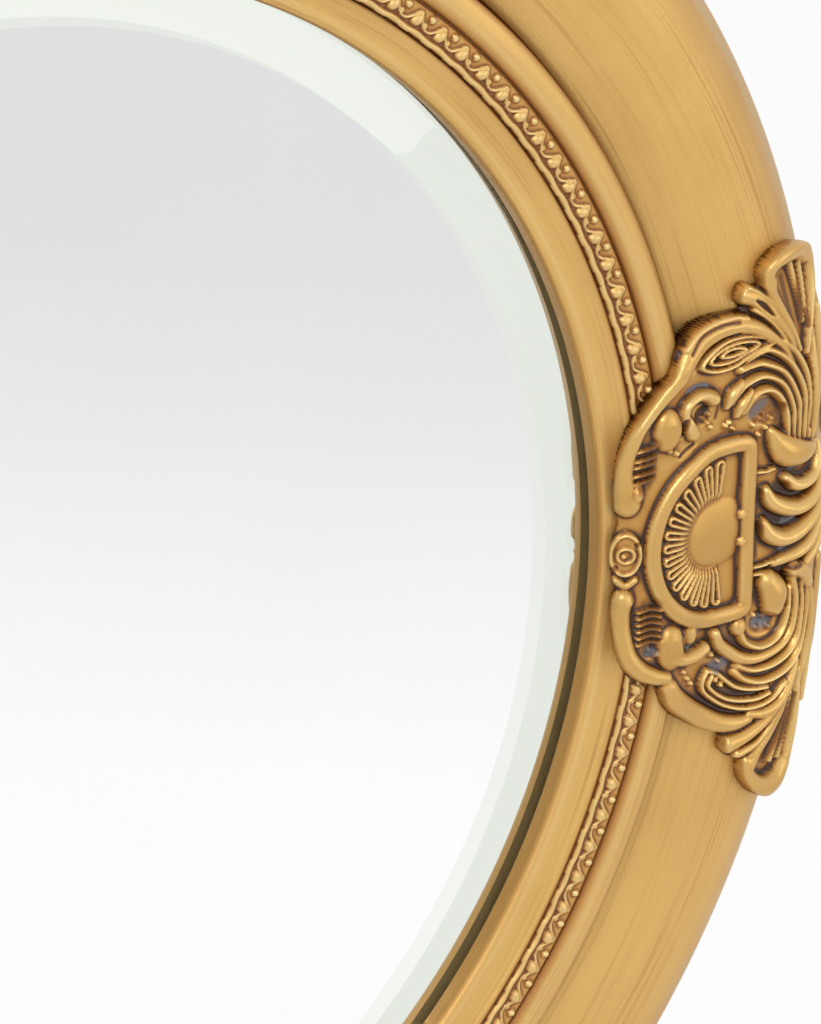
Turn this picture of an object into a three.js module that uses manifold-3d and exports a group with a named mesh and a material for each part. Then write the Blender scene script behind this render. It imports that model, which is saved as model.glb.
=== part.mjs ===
// A round gilded wall mirror: a turned moulding with an embossed strip and four cast
// cartouches, flat bevelled glass, a backing board held by turn buttons, and ring hangers.
//
// Everything is drawn face up: x to the right, y up the wall and z forward from the back
// face of the moulding. The finished group is then stood up, so the face looks along -Y.

import * as THREE from 'three';
import { mergeVertices } from 'three/addons/utils/BufferGeometryUtils.js';
import Module from 'manifold-3d';

const wasm = await Module();
wasm.setup();

// ---------------------------------------------------------------- driving dimensions, mm

// Widths across the face, from the sight edge outwards.
const sight_radius = 178.1;
const cove_width = 9.3;
const strip_channel_width = 8.2;
const half_round_width = 8.4;
const groove_width = 0.9;
const band_width = 45.1;
const band_crown_width = 16.2;

// Heights of the face above the underside of the sight lip.
const lip_edge_height = 2.6;
const nose_height = 5.4;
const nose_width = 2.6;
const cove_top_height = 7.5;
const channel_floor_height = 6.5;
const half_round_height = 8.6;
const groove_height = 0.7;
const band_edge_height = 2.4;
const band_crown_height = 5.8;
const band_fall = 12.0;
const back_chamfer = 1.2;

// Glass, board and the rebate that holds them.
const glass_radius = 184.0;
const glass_thickness = 5.0;
const bevel_width = 19.5;
const bevel_drop = 2.0;
const board_thickness = 3.0;
const rebate_clearance = 0.6;
const button_recess_depth = 9.8;
const button_ledge_width = 16.0;
const seat_gap = 0.3;

// Embossed strip.
const strip_thickness = 1.0;
const strip_edge_width = 1.3;
const strip_edge_slope = 0.8;
const strip_edge_rise = 0.7;
const strip_bead_length = 5.0;
const strip_bead_width = 3.4;
const strip_bead_rise = 1.1;
const beads_per_strip = 36;

// Cast cartouche. Its medallion is placed in the flat drawing described below, which is
// made for a face of the drawn width.
const cartouche_plate = 1.5;
const cartouche_skirt = 7.0;
const roll_sink = 2.2;
const drawn_face_width = 62.6;
const medallion_centre = 22.8;
const medallion_half_width = 21.6;
const medallion_half_height = 22.4;
const medallion_side = 32.2;
const medallion_corner = 3.5;
const medallion_rim_width = 3.7;
const shell_inset = 1.2;
const shell_shift = 1.5;
const shell_eye_share = 0.34;
const petal_count = 7;
const petal_rise = 1.6;
const petal_valley = 0.2;

// Turn buttons.
const button_count = 6;
const button_length = 21.0;
const button_width = 9.0;
const button_thickness = 1.5;
const button_pivot_inset = 6.6;

// Screws: a pan head on a plain shank with a point.
const screw_head_radius = 3.2;
const screw_head_height = 1.6;
const screw_shank_radius = 1.5;
const screw_length = 8.5;
const screw_point = 2.0;
const screw_sides = 8;

// Ring hangers.
const hanger_angle = 62.0;
const hanger_inset = 18.0;
const strap_width = 12.0;
const strap_length = 30.0;
const strap_thickness = 0.9;
const strap_wrap = 250.0;
const strap_first_hole = 19.0;
const strap_hole_spacing = 7.0;
const ring_wire_radius = 1.1;
const ring_width = 17.0;
const ring_length = 14.0;
const ring_corner = 2.4;
const ring_steps = 30;
const ring_sides = 6;

// Wall bumpers.
const bumper_radius = 6.0;
const bumper_inset = 24.0;
const bumper_angle = 60.0;
const bumper_chamfer = 0.8;
const bumper_sides = 12;

// Facets round the mirror's axis. Every ring-shaped piece keeps to the same stations.
const stations_per_quarter = 12;
const stations = 4 * stations_per_quarter;
const station_step = (2 * Math.PI) / stations;

// ---------------------------------------------------------------- sizes that follow

const strip_inner = sight_radius + cove_width;
const strip_outer = strip_inner + strip_channel_width;
const half_round_outer = strip_outer + half_round_width;
const band_inner = half_round_outer + groove_width;
const band_crown = band_inner + band_crown_width;
const outer_radius = band_inner + band_width;
const hanger_radius = outer_radius - hanger_inset;
const bumper_circle_radius = outer_radius - bumper_inset;

const board_back = button_recess_depth;
const glass_back = board_back + board_thickness + seat_gap;
const glass_front = glass_back + glass_thickness;
const bevel_radius = glass_radius - bevel_width;
const bevel_at_sight = (bevel_drop * (sight_radius - bevel_radius)) / bevel_width;
const lip_underside = glass_front - bevel_at_sight + seat_gap;
const rebate_radius = glass_radius + rebate_clearance;
const recess_radius = rebate_radius + button_ledge_width;

const strip_base = channel_floor_height + seat_gap;
const strip_top = strip_base + strip_thickness;
const strip_crest = strip_top + Math.max(strip_edge_rise, strip_bead_rise);

const screw_hole_radius = (screw_shank_radius + seat_gap) / Math.cos(Math.PI / screw_sides);
const button_back = button_recess_depth - seat_gap - button_thickness;
const button_pivot_radius = rebate_radius + button_pivot_inset;

const eye_bore_radius = ring_wire_radius + seat_gap;
const eye_outer_radius = eye_bore_radius + strap_thickness;
const ring_axis_depth = seat_gap + eye_outer_radius;
const strap_back_depth = seat_gap + strap_thickness;
const hardware_depth = ring_axis_depth + eye_outer_radius;

// ---------------------------------------------------------------- small helpers

function finish(color, roughness, metalness) {
  return new THREE.MeshStandardMaterial({ color, roughness, metalness });
}

function polar(radius, degrees) {
  const angle = THREE.MathUtils.degToRad(degrees);
  return [radius * Math.cos(angle), radius * Math.sin(angle)];
}

// The same geometry with only its places left and its shared corners merged.
function welded(geometry) {
  const bare = geometry.clone();
  bare.deleteAttribute('normal');
  bare.deleteAttribute('uv');
  return mergeVertices(bare, 1e-4);
}

function solidOf(geometry) {
  const closed = welded(geometry);
  return new wasm.Manifold(new wasm.Mesh({
    numProp: 3,
    vertProperties: new Float32Array(closed.attributes.position.array),
    triVerts: new Uint32Array(closed.index.array),
  }));
}

function geometryOf(solid) {
  const mesh = solid.getMesh();
  const geometry = new THREE.BufferGeometry();
  geometry.setAttribute('position', new THREE.BufferAttribute(mesh.vertProperties, 3));
  geometry.setIndex(new THREE.BufferAttribute(mesh.triVerts, 1));
  geometry.computeVertexNormals();
  return geometry;
}

function fused(solids) {
  return solids.reduce((sum, next) => sum.add(next));
}

// Turns a closed skin round if its faces point inwards.
function outward(geometry) {
  const places = geometry.attributes.position;
  const index = geometry.index.array;
  const corner = [new THREE.Vector3(), new THREE.Vector3(), new THREE.Vector3()];
  let volume = 0;
  for (let i = 0; i < index.length; i += 3) {
    corner.forEach((c, k) => c.fromBufferAttribute(places, index[i + k]));
    volume += corner[0].dot(corner[1].cross(corner[2]));
  }
  if (volume < 0) {
    for (let i = 0; i < index.length; i += 3) {
      [index[i], index[i + 1]] = [index[i + 1], index[i]];
    }
  }
  return geometry;
}

// Triangles that fill a flat outline of points in space, wound as the outline is.
function capFaces(outline) {
  const normal = new THREE.Vector3();
  outline.forEach((p, i) => {
    normal.add(p.clone().cross(outline[(i + 1) % outline.length]));
  });
  normal.normalize();
  const across = outline[1].clone().sub(outline[0]).normalize();
  const up = normal.clone().cross(across);
  const flat = outline.map((p) => new THREE.Vector2(p.dot(across), p.dot(up)));
  return THREE.ShapeUtils.triangulateShape(flat, []).map(([a, b, c]) => {
    const turn = flat[b].clone().sub(flat[a]).cross(flat[c].clone().sub(flat[a]));
    return turn > 0 ? [a, b, c] : [a, c, b];
  });
}

// A closed skin over rows of points. Every row has the same number of points, and the
// two end rows are capped unless the rows themselves close into a loop.
function skin(rows, closed = false) {
  const count = rows[0].length;
  const index = [];
  const last = closed ? rows.length : rows.length - 1;
  for (let i = 0; i < last; i += 1) {
    const here = i * count;
    const next = ((i + 1) % rows.length) * count;
    for (let j = 0; j < count; j += 1) {
      const k = (j + 1) % count;
      index.push(here + j, next + k, next + j, here + j, here + k, next + k);
    }
  }
  if (!closed) {
    const end = (rows.length - 1) * count;
    for (const [a, b, c] of capFaces(rows[0])) {
      index.push(a, c, b, end + a, end + b, end + c);
    }
  }
  const geometry = new THREE.BufferGeometry();
  const places = rows.flat().flatMap((p) => [p.x, p.y, p.z]);
  geometry.setAttribute('position', new THREE.Float32BufferAttribute(places, 3));
  geometry.setIndex(index);
  return outward(geometry);
}

// A turned solid about the mirror's axis, from [radius, height] points.
function turned(profile, segments = stations) {
  const points = profile.map(([radius, height]) => new THREE.Vector2(radius, height));
  const lathe = new THREE.LatheGeometry(points, segments, Math.PI / 2);
  lathe.rotateX(Math.PI / 2);
  return outward(welded(lathe));
}

// A stretch of a ring between two stations, with a section at every stride-th of them. Its
// ends may be trimmed by a small angle: there the section lies on the facet's chord, a
// little inside the circle.
function arcSection(profile, first_station, last_station, trim = 0, stride = 1) {
  const rows = [];
  for (let s = first_station; s <= last_station; s += stride) {
    const shift = s === first_station ? trim : s === last_station ? -trim : 0;
    const chord = Math.cos(station_step / 2) / Math.cos(station_step / 2 - Math.abs(shift));
    const angle = s * station_step + shift;
    rows.push(profile.map(([radius, height]) => new THREE.Vector3(
      radius * chord * Math.cos(angle),
      radius * chord * Math.sin(angle),
      height,
    )));
  }
  return skin(rows);
}

// Moves a line of [radius, height] points forward by one distance, square to the line.
function offsetForward(points, distance) {
  const normals = [];
  for (let i = 1; i < points.length; i += 1) {
    const run = points[i][0] - points[i - 1][0];
    const rise = points[i][1] - points[i - 1][1];
    normals.push(new THREE.Vector2(-rise, run).normalize());
  }
  return points.map(([radius, height], i) => {
    const before = normals[Math.max(i - 1, 0)];
    const after = normals[Math.min(i, normals.length - 1)];
    const middle = before.clone().add(after).normalize();
    const reach = distance / middle.dot(after);
    return [radius + reach * middle.x, height + reach * middle.y];
  });
}

// ---------------------------------------------------------------- the moulding

function raised(points) {
  return points.map(([radius, height]) => [radius, lip_underside + height]);
}

// The rounded sight nose, a quarter of an ellipse, then the shallow cove up to the strip's
// channel, whose lowest third of rise takes two thirds of its run.
function coveLine() {
  const [run, rise] = polar(1, 45);
  const cove_start = sight_radius + nose_width;
  return [
    [sight_radius, lip_edge_height],
    [sight_radius + (1 - run) * nose_width, lip_edge_height + rise * (nose_height - lip_edge_height)],
    [cove_start, nose_height],
    [cove_start + (strip_inner - cove_start) * (2 / 3), nose_height + (cove_top_height - nose_height) / 3],
    [strip_inner, cove_top_height],
  ];
}

// A half-round bead that falls into the groove beside the band.
function halfRoundLine() {
  const middle = strip_outer + half_round_width / 2;
  const rise = half_round_height - channel_floor_height;
  const line = [140, 105, 75, 40].map((degrees) => {
    const [run, up] = polar(1, degrees);
    return [middle + (half_round_width / 2) * run, channel_floor_height + rise * up];
  });
  line.push([half_round_outer, groove_height]);
  return line;
}

// The broad band: a slow rise to its crown, then a fourth-power fall to the outer edge.
function bandLine() {
  const line = [0, 0.5, 1].map((t) => [
    band_inner + t * (band_crown - band_inner),
    band_crown_height - (1 - t) ** 2 * (band_crown_height - band_edge_height),
  ]);
  for (const t of [0.5, 0.75, 0.9, 1]) {
    line.push([
      band_crown + t * (outer_radius - band_crown),
      band_crown_height - band_fall * t ** 4,
    ]);
  }
  return line;
}

// A blind hole that a screw's shank stands in, at a place on the back.
function screwHole([x, y], mouth) {
  return drilled(x, y, mouth - seat_gap, mouth + screw_length + seat_gap);
}

// A drill along z, for a screw's shank, from one height to another.
function drilled(x, y, from, to) {
  const depth = to - from;
  const drill = new THREE.CylinderGeometry(screw_hole_radius, screw_hole_radius, depth, screw_sides);
  drill.rotateX(Math.PI / 2);
  drill.translate(x, y, (from + to) / 2);
  return solidOf(drill);
}

function mouldingFrame(button_places, strap_screw_places) {
  const channel = [[strip_inner, channel_floor_height], [strip_outer, channel_floor_height]];
  const ring = solidOf(turned([
    [sight_radius, lip_underside],
    ...raised([...coveLine(), ...channel, ...halfRoundLine(), ...bandLine()]),
    [outer_radius, back_chamfer],
    [outer_radius - back_chamfer, 0],
    [recess_radius, 0],
    [recess_radius, button_recess_depth],
    [rebate_radius, button_recess_depth],
    [rebate_radius, lip_underside],
    [sight_radius, lip_underside],
  ]));
  const holes = [
    ...button_places.map((place) => screwHole(place, button_back)),
    ...strap_screw_places.map((place) => screwHole(place, -strap_back_depth)),
  ];
  return geometryOf(ring.subtract(fused(holes)));
}

// ---------------------------------------------------------------- glass and board

function mirrorGlass() {
  return turned([
    [0, glass_back],
    [glass_radius, glass_back],
    [glass_radius, glass_front - bevel_drop],
    [bevel_radius, glass_front],
    [0, glass_front],
  ]);
}

function backingBoard() {
  const front = board_back + board_thickness;
  return turned([[0, board_back], [glass_radius, board_back], [glass_radius, front], [0, front]]);
}

// ---------------------------------------------------------------- embossed strip

// One length of strip: a ribbon with a raised inner edge and a row of leafy beads.
function embossedStrip(first_station) {
  const inner = strip_inner + seat_gap;
  const outer = strip_outer - seat_gap;
  const edge_foot = inner + strip_edge_width + strip_edge_slope;
  const trim = seat_gap / (2 * outer);
  const ribbon = arcSection(raised([
    [inner, strip_base],
    [outer, strip_base],
    [outer, strip_top],
    [edge_foot, strip_top],
    [inner + strip_edge_width, strip_top + strip_edge_rise],
    [inner, strip_top + strip_edge_rise],
  ]), first_station, first_station + stations_per_quarter, trim);
  const bead_radius = (edge_foot + outer) / 2;
  const pitch = (stations_per_quarter * station_step) / beads_per_strip;
  const parts = [solidOf(ribbon)];
  const sunk = strip_thickness / 2;
  for (let i = 0; i < beads_per_strip; i += 1) {
    const angle = first_station * station_step + (i + 0.5) * pitch;
    const bead = new THREE.ConeGeometry(1, strip_bead_rise + sunk, 4);
    bead.rotateX(Math.PI / 2);
    bead.scale(strip_bead_width / 2, strip_bead_length / 2, 1);
    bead.translate(bead_radius, 0, lip_underside + strip_top + (strip_bead_rise - sunk) / 2);
    bead.rotateZ(angle);
    parts.push(solidOf(bead));
  }
  return geometryOf(fused(parts));
}

// ---------------------------------------------------------------- cast cartouche
//
// The cartouche is drawn flat, as if its moulding were unrolled: x runs outwards from the
// strip's inner edge and v runs up the mirror. Its upper half is mirrored to the lower.

const face_stretch = (outer_radius - strip_inner) / drawn_face_width;

// What the casting rests on: the nose, the strip's crest, the half-round and the band,
// with the cove and the groove bridged.
function seatLine() {
  return raised([
    ...coveLine().slice(1, 3),
    [strip_inner - seat_gap, strip_crest],
    halfRoundLine()[2],
    ...bandLine().slice(2),
  ]);
}

const edge_foot = [outer_radius, cartouche_skirt];
const seat = offsetForward([...seatLine(), [outer_radius, 0]], seat_gap);
const ground = offsetForward([...seatLine(), edge_foot], seat_gap + cartouche_plate);

// Stations from the casting's axis to well past its widest leaf.
const casting_stations = stations_per_quarter / 4;

// Distance along the ground from the strip's inner edge to each of its points.
const ground_reach = [0];
for (let i = 1; i < ground.length; i += 1) {
  const run = ground[i][0] - ground[i - 1][0];
  const rise = ground[i][1] - ground[i - 1][1];
  ground_reach.push(ground_reach[i - 1] + Math.hypot(run, rise));
}
const ground_start = ground_reach[ground.findIndex(([radius]) => radius >= strip_inner - 1)];

// A place of the flat drawing, laid on the ground: its point and the three directions
// outwards, upwards and square to the ground.
function laid(x, v) {
  const flat_radius = strip_inner + x * face_stretch;
  const spread = Math.hypot(flat_radius, v);
  const reach = ground_start + spread - strip_inner;
  let i = ground_reach.findIndex((length) => length > reach);
  i = i < 1 ? ground.length - 1 : i;
  const t = (reach - ground_reach[i - 1]) / (ground_reach[i] - ground_reach[i - 1]);
  const run = ground[i][0] - ground[i - 1][0];
  const rise = ground[i][1] - ground[i - 1][1];
  const radius = ground[i - 1][0] + t * run;
  const cos = flat_radius / spread;
  const sin = v / spread;
  const slope = new THREE.Vector2(run, rise).normalize();
  return {
    point: new THREE.Vector3(radius * cos, radius * sin, ground[i - 1][1] + t * rise),
    out: new THREE.Vector3(slope.x * cos, slope.x * sin, slope.y),
    up: new THREE.Vector3(-sin, cos, 0),
    normal: new THREE.Vector3(-slope.y * cos, -slope.y * sin, slope.x),
  };
}

// A raised form swept along a line of the drawing. Widths are spread evenly along it and
// the height keeps the given share of the width. A crown of 0 gives a sharp ridge, and a
// wider one a flat-topped roll.
function roll({ path, widths, steps, share = 0.62, crown = 0, closed = false, lift = 0 }) {
  const line = new THREE.CatmullRomCurve3(
    path.map(([x, v]) => new THREE.Vector3(x, v, 0)), closed, 'centripetal',
  );
  const count = closed ? steps : steps + 1;
  const places = [];
  for (let i = 0; i < count; i += 1) {
    const at = line.getPoint(i / steps);
    places.push(laid(at.x, at.y));
  }
  const rows = places.map((place, i) => {
    const before = places[closed ? (i + count - 1) % count : Math.max(i - 1, 0)];
    const after = places[closed ? (i + 1) % count : Math.min(i + 1, count - 1)];
    const along = after.point.clone().sub(before.point);
    const side = place.normal.clone().cross(along).normalize();
    const t = (i / steps) * (widths.length - 1);
    const low = Math.min(Math.floor(t), widths.length - 2);
    const width = THREE.MathUtils.lerp(widths[low], widths[low + 1], t - low);
    const high = share * width + lift * Math.sin((Math.PI * i) / steps);
    const top = crown > 0 ? [[-crown, high], [crown, high]] : [[0, high]];
    return [[-0.5, -roll_sink], ...top, [0.5, -roll_sink]].map(([across, up]) => (
      place.point.clone().addScaledVector(side, across * width).addScaledVector(place.normal, up)
    ));
  });
  return solidOf(skin(rows, closed));
}

// A faceted boss, such as a pearl, a bulb or a leaf's swelling.
function boss(x, v, long, wide, high, tilt = 0) {
  const place = laid(x, v);
  const shape = new THREE.SphereGeometry(1, 6, 3);
  shape.rotateX(Math.PI / 2);
  shape.scale(long, wide, high);
  shape.rotateZ(THREE.MathUtils.degToRad(tilt));
  shape.applyMatrix4(new THREE.Matrix4().makeBasis(place.out, place.up, place.normal));
  shape.translate(place.point.x, place.point.y, place.point.z);
  return solidOf(shape);
}

// Outline of the casting, from its axis at the inner side to the outer edge.
const cartouche_outline = [
  [-8.2, 0], [-8.2, 20], [-6.6, 30], [-2, 38], [6, 46], [13, 55.5], [25, 60],
  [25, 65.5], [33, 67], [37, 74], [46, 74.5], [53, 69], [70, 55],
];

// The plate that every form of the casting stands on.
function cartouchePlate() {
  const corners = [
    ...cartouche_outline.map(([x, v]) => [x, -v]).reverse(),
    ...cartouche_outline.slice(1),
  ];
  const outline = new THREE.Shape(corners.map(([x, v]) => (
    new THREE.Vector2(strip_inner + x * face_stretch, v)
  )));
  const above = 2 * (lip_underside + half_round_height);
  const prism = new THREE.ExtrudeGeometry(outline, { depth: above, bevelEnabled: false });
  const shell = arcSection([
    [sight_radius - roll_sink, ground[0][1]],
    ...ground,
    [sight_radius - roll_sink, cartouche_skirt],
  ], -casting_stations, casting_stations, 0, 2);
  return solidOf(prism).intersect(solidOf(shell));
}

// The space that the moulding and the strip take up, with the casting's seat gap.
function seatSpace() {
  const inner = sight_radius - 2 * roll_sink;
  return solidOf(arcSection([
    [inner, 0],
    [inner, seat[0][1]],
    ...seat,
    [seat[seat.length - 1][0], 0],
  ], -casting_stations - 1, casting_stations + 1));
}

// A ring of points on an ellipse of the drawing, at one height over the ground.
function ellipseRing([x, v], [half_x, half_v], degrees, height) {
  return degrees.map((angle, i) => {
    const [run, rise] = polar(1, angle);
    const place = laid(x + half_x * run, v + half_v * rise);
    return place.point.addScaledVector(place.normal, height(i));
  });
}

// The D-shaped medallion on the axis: a raised rim round a shell of scalloped petals.
function medallion() {
  const rim = [];
  for (let degrees = 90; degrees <= 270; degrees += 20) {
    const [run, rise] = polar(1, degrees);
    rim.push([medallion_centre + medallion_half_width * run, medallion_half_height * rise]);
  }
  const corner = medallion_half_height - medallion_corner;
  rim.push([medallion_side, -corner], [medallion_side, corner]);
  // the petals fan out over half a turn and a little more, each a ridge between two valleys
  const petal_edges = [];
  for (let i = 0; i <= 2 * petal_count; i += 1) {
    petal_edges.push(88 + (184 * i) / (2 * petal_count));
  }
  const foot = [medallion_half_width - shell_inset, medallion_half_height - shell_inset];
  const eye = [shell_eye_share * medallion_half_width, shell_eye_share * medallion_half_height];
  const centre = [medallion_centre + shell_shift, 0];
  const middle = (petal_rise + petal_valley) / 2;
  const shell = skin([
    ellipseRing(centre, foot, petal_edges, () => -roll_sink),
    ellipseRing(centre, foot, petal_edges, (i) => (i % 2 ? petal_rise : petal_valley)),
    ellipseRing(centre, eye, petal_edges, () => middle),
    ellipseRing(centre, eye, petal_edges, () => -roll_sink),
  ]);
  const widths = [medallion_rim_width, medallion_rim_width];
  return [
    roll({ path: rim, widths, share: 0.65, steps: 16, crown: 0.24, closed: true }),
    solidOf(shell),
  ];
}

// Scrolls and leaves of the upper half: the line of each, its widths, its number of
// steps and, where they differ from the usual, its share of rise and its crown.
const scrolls = {
  inner_scroll: {
    path: [[-3.2, 13.4], [-5.2, 20], [-4.6, 28], [-0.6, 36], [9, 44.5]],
    widths: [4.6, 4.4, 4.2, 3.6, 3],
    steps: 5,
  },
  outer_scroll: {
    path: [[7.4, 43.2], [12, 49], [18, 55], [28, 57], [36, 52.6], [42, 46]],
    widths: [3, 4, 4, 3.6, 3, 2],
    steps: 6,
  },
  curled_leaf: {
    path: [[26.6, 63.4], [31.5, 60.6], [37.5, 55], [43.5, 47.5]],
    widths: [3.6, 4.2, 3.4, 1.8],
    steps: 3,
  },
  plume: {
    path: [[45.5, 46], [37.4, 59], [36, 69], [42, 73], [49, 69.5], [52.8, 58], [51.6, 45]],
    widths: [2.2, 3.8, 4.4, 4.4, 4.2, 3.2, 2.2],
    steps: 8,
  },
  edge_leaf: {
    path: [[63.5, 20], [64, 34], [61.4, 48], [57, 61]],
    widths: [4, 6.4, 5.6, 1.8],
    steps: 3,
    share: 0.45,
  },
  fan_inner: {
    path: [[24.6, 36], [31, 40.4], [40, 37.6], [43.6, 20]],
    widths: [3, 3, 2.6, 1.8],
    steps: 4,
  },
  fan_outer: {
    path: [[28.5, 43.4], [37, 43.6], [44.6, 37], [48, 19]],
    widths: [3, 3, 2.6, 1.8],
    steps: 4,
  },
};

// One half of the cartouche; hand is 1 for the upper half and -1 for the lower.
function scrollwork(hand) {
  const forms = Object.values(scrolls).map((form) => (
    roll({ ...form, path: form.path.map(([x, v]) => [x, v * hand]) })
  ));
  // the scroll's own bulb, and the bulb that gathers the fan
  forms.push(boss(-2.6, 13.4 * hand, 2.8, 2.8, 3.4));
  forms.push(boss(41.6, 17.6 * hand, 6.4, 3.3, 4.2, -22 * hand));
  // horn-like ribs that roll over the outer edge
  for (const [v, start] of [[3.6, 36.6], [10.6, 40.4]]) {
    forms.push(roll({
      path: [[start, v * hand], [50, v * hand], [60, v * hand], [68, v * hand]],
      widths: [3.2, 5.2, 4.8, 3.6],
      share: 0.5,
      steps: 4,
      lift: 1.6,
    }));
  }
  return forms;
}

function cartouche() {
  const casting = fused([
    cartouchePlate(),
    boss(-4, 0, 3.4, 4.4, 2.4),
    ...medallion(),
    ...scrollwork(1),
    ...scrollwork(-1),
  ]);
  return geometryOf(casting.subtract(seatSpace()));
}

// ---------------------------------------------------------------- back hardware

// A swivelling tongue, drawn pointing at -x from its screw. One end is round and the other
// has its corners cut off.
function turnButton() {
  const half = button_width / 2;
  const tip = button_length - half;
  const cut = half * 0.55;
  const corners = [-90, -60, -30, 0, 30, 60, 90].map((degrees) => polar(half, degrees));
  corners.push([cut - tip, half], [-tip, half - cut], [-tip, cut - half], [cut - tip, -half]);
  const outline = new THREE.Shape(corners.map(([x, y]) => new THREE.Vector2(x, y)));
  const hole = new THREE.Path();
  hole.absarc(0, 0, screw_hole_radius, 0, 2 * Math.PI, true);
  outline.holes.push(hole);
  return new THREE.ExtrudeGeometry(outline, {
    depth: button_thickness,
    bevelEnabled: false,
    curveSegments: screw_sides,
  });
}

// A screw whose head stands back from z = 0 and whose shank points forward.
function screw() {
  return turned([
    [0, -screw_head_height],
    [0.75 * screw_head_radius, -screw_head_height],
    [screw_head_radius, 0],
    [screw_shank_radius, 0],
    [screw_shank_radius, screw_length - screw_point],
    [0, screw_length],
  ], screw_sides);
}

// The strap's side view, with its rolled eye, drawn out and extruded across its width.
// x is depth behind the moulding, y is up the wall, and the eye's centre is at y = 0.
function hangerStrap() {
  const wrap = THREE.MathUtils.degToRad(strap_wrap);
  const start = Math.PI;
  const outline = new THREE.Shape();
  outline.moveTo(seat_gap, -strap_length);
  outline.lineTo(seat_gap, 0);
  outline.absarc(ring_axis_depth, 0, eye_outer_radius, start, start - wrap, true);
  outline.absarc(ring_axis_depth, 0, eye_bore_radius, start - wrap, start, false);
  outline.lineTo(strap_back_depth, -strap_length);
  outline.closePath();
  const plate = new THREE.ExtrudeGeometry(outline, {
    depth: strap_width,
    bevelEnabled: false,
    curveSegments: 9,
  });
  plate.translate(0, 0, -strap_width / 2);
  plate.rotateY(Math.PI / 2);
  const drills = strapHoles().map((drop) => drilled(0, -drop, -2 * strap_back_depth, 0));
  return geometryOf(solidOf(plate).subtract(fused(drills)));
}

function strapHoles() {
  return [strap_first_hole, strap_first_hole + strap_hole_spacing];
}

// A bent wire ring with a straight bar in the eye, drawn hanging down from y = 0.
function hangerRing() {
  const half = ring_width / 2;
  const bar = half - ring_corner;
  const straight = ring_length - half;
  const path = new THREE.CurvePath();
  const run = (from, to) => {
    path.add(new THREE.LineCurve(new THREE.Vector2(...from), new THREE.Vector2(...to)));
  };
  const bend = (x, y, radius, from, to) => {
    path.add(new THREE.EllipseCurve(x, y, radius, radius, from, to, true));
  };
  run([-bar, 0], [bar, 0]);
  bend(bar, -ring_corner, ring_corner, Math.PI / 2, 0);
  run([half, -ring_corner], [half, -straight]);
  bend(0, -straight, half, 0, -Math.PI);
  run([-half, -straight], [-half, -ring_corner]);
  bend(-bar, -ring_corner, ring_corner, Math.PI, Math.PI / 2);
  const rows = [];
  for (let i = 0; i < ring_steps; i += 1) {
    const at = path.getPointAt(i / ring_steps);
    const ahead = path.getTangentAt(i / ring_steps);
    const row = [];
    for (let j = 0; j < ring_sides; j += 1) {
      const [across, back] = polar(ring_wire_radius, (360 * j) / ring_sides);
      const x = at.x - across * ahead.y;
      const y = at.y + across * ahead.x;
      row.push(new THREE.Vector3(x, y, back - ring_axis_depth));
    }
    rows.push(row);
  }
  return skin(rows, true);
}

// A pad as deep as the hangers, so that the mirror hangs parallel to the wall.
function bumper() {
  return turned([
    [0, -seat_gap],
    [bumper_radius, -seat_gap],
    [bumper_radius, bumper_chamfer - hardware_depth],
    [bumper_radius - bumper_chamfer, -hardware_depth],
    [0, -hardware_depth],
  ], bumper_sides);
}

// ---------------------------------------------------------------- materials and assembly

const gilt = finish(0xd2a55d, 0.45, 0.35);
const cast_gilt = finish(0xc9984f, 0.38, 0.45);
const pressed_gilt = finish(0xc79852, 0.42, 0.4);
const silvered_glass = finish(0xdfe4de, 0.03, 0.9);
const hardboard = finish(0x8a6a48, 0.8, 0);
const zinc = finish(0xb4b6b4, 0.35, 0.9);
const rubber = finish(0x3a3a3a, 0.85, 0);

const mirror = new THREE.Group();
mirror.rotation.x = Math.PI / 2;

function add(name, geometry, look, x = 0, y = 0, z = 0, turn = 0) {
  const mesh = new THREE.Mesh(geometry, look.clone());
  mesh.name = name;
  mesh.position.set(x, y, z);
  mesh.rotation.z = turn;
  mirror.add(mesh);
}

const sides = ['right', 'top', 'left', 'bottom'];
const hanger_sides = [['right', 1], ['left', -1]];

const button_places = [];
for (let i = 0; i < button_count; i += 1) {
  button_places.push(polar(button_pivot_radius, 30 + (360 * i) / button_count));
}
const [hanger_x, hanger_y] = polar(hanger_radius, hanger_angle);
const strap_screw_places = hanger_sides.flatMap(([, hand]) => (
  strapHoles().map((drop) => [hand * hanger_x, hanger_y - drop])
));

add('frame_moulding', mouldingFrame(button_places, strap_screw_places), gilt);
add('mirror_glass', mirrorGlass(), silvered_glass);
add('backing_board', backingBoard(), hardboard);

const casting = cartouche();
sides.forEach((side, i) => {
  const strip = embossedStrip(-0.75 * stations_per_quarter);
  add(`strip_${side}`, strip, pressed_gilt, 0, 0, 0, (i * Math.PI) / 2);
  add(`cartouche_${side}`, casting, cast_gilt, 0, 0, 0, (i * Math.PI) / 2);
});

button_places.forEach(([x, y], i) => {
  const turn = Math.atan2(y, x);
  add(`turn_button_${i + 1}`, turnButton(), zinc, x, y, button_back, turn);
  add(`button_screw_${i + 1}`, screw(), zinc, x, y, button_back - seat_gap, turn);
});

for (const [side, hand] of hanger_sides) {
  add(`hanger_strap_${side}`, hangerStrap(), zinc, hand * hanger_x, hanger_y, 0);
  add(`hanger_ring_${side}`, hangerRing(), zinc, hand * hanger_x, hanger_y, 0);
  strapHoles().forEach((drop, i) => {
    const name = `strap_screw_${side}_${i + 1}`;
    add(name, screw(), zinc, hand * hanger_x, hanger_y - drop, -strap_back_depth - seat_gap);
  });
  const [x, y] = polar(bumper_circle_radius, -bumper_angle);
  add(`bumper_${side}`, bumper(), rubber, hand * x, y, 0);
}

export default mirror;
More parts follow.
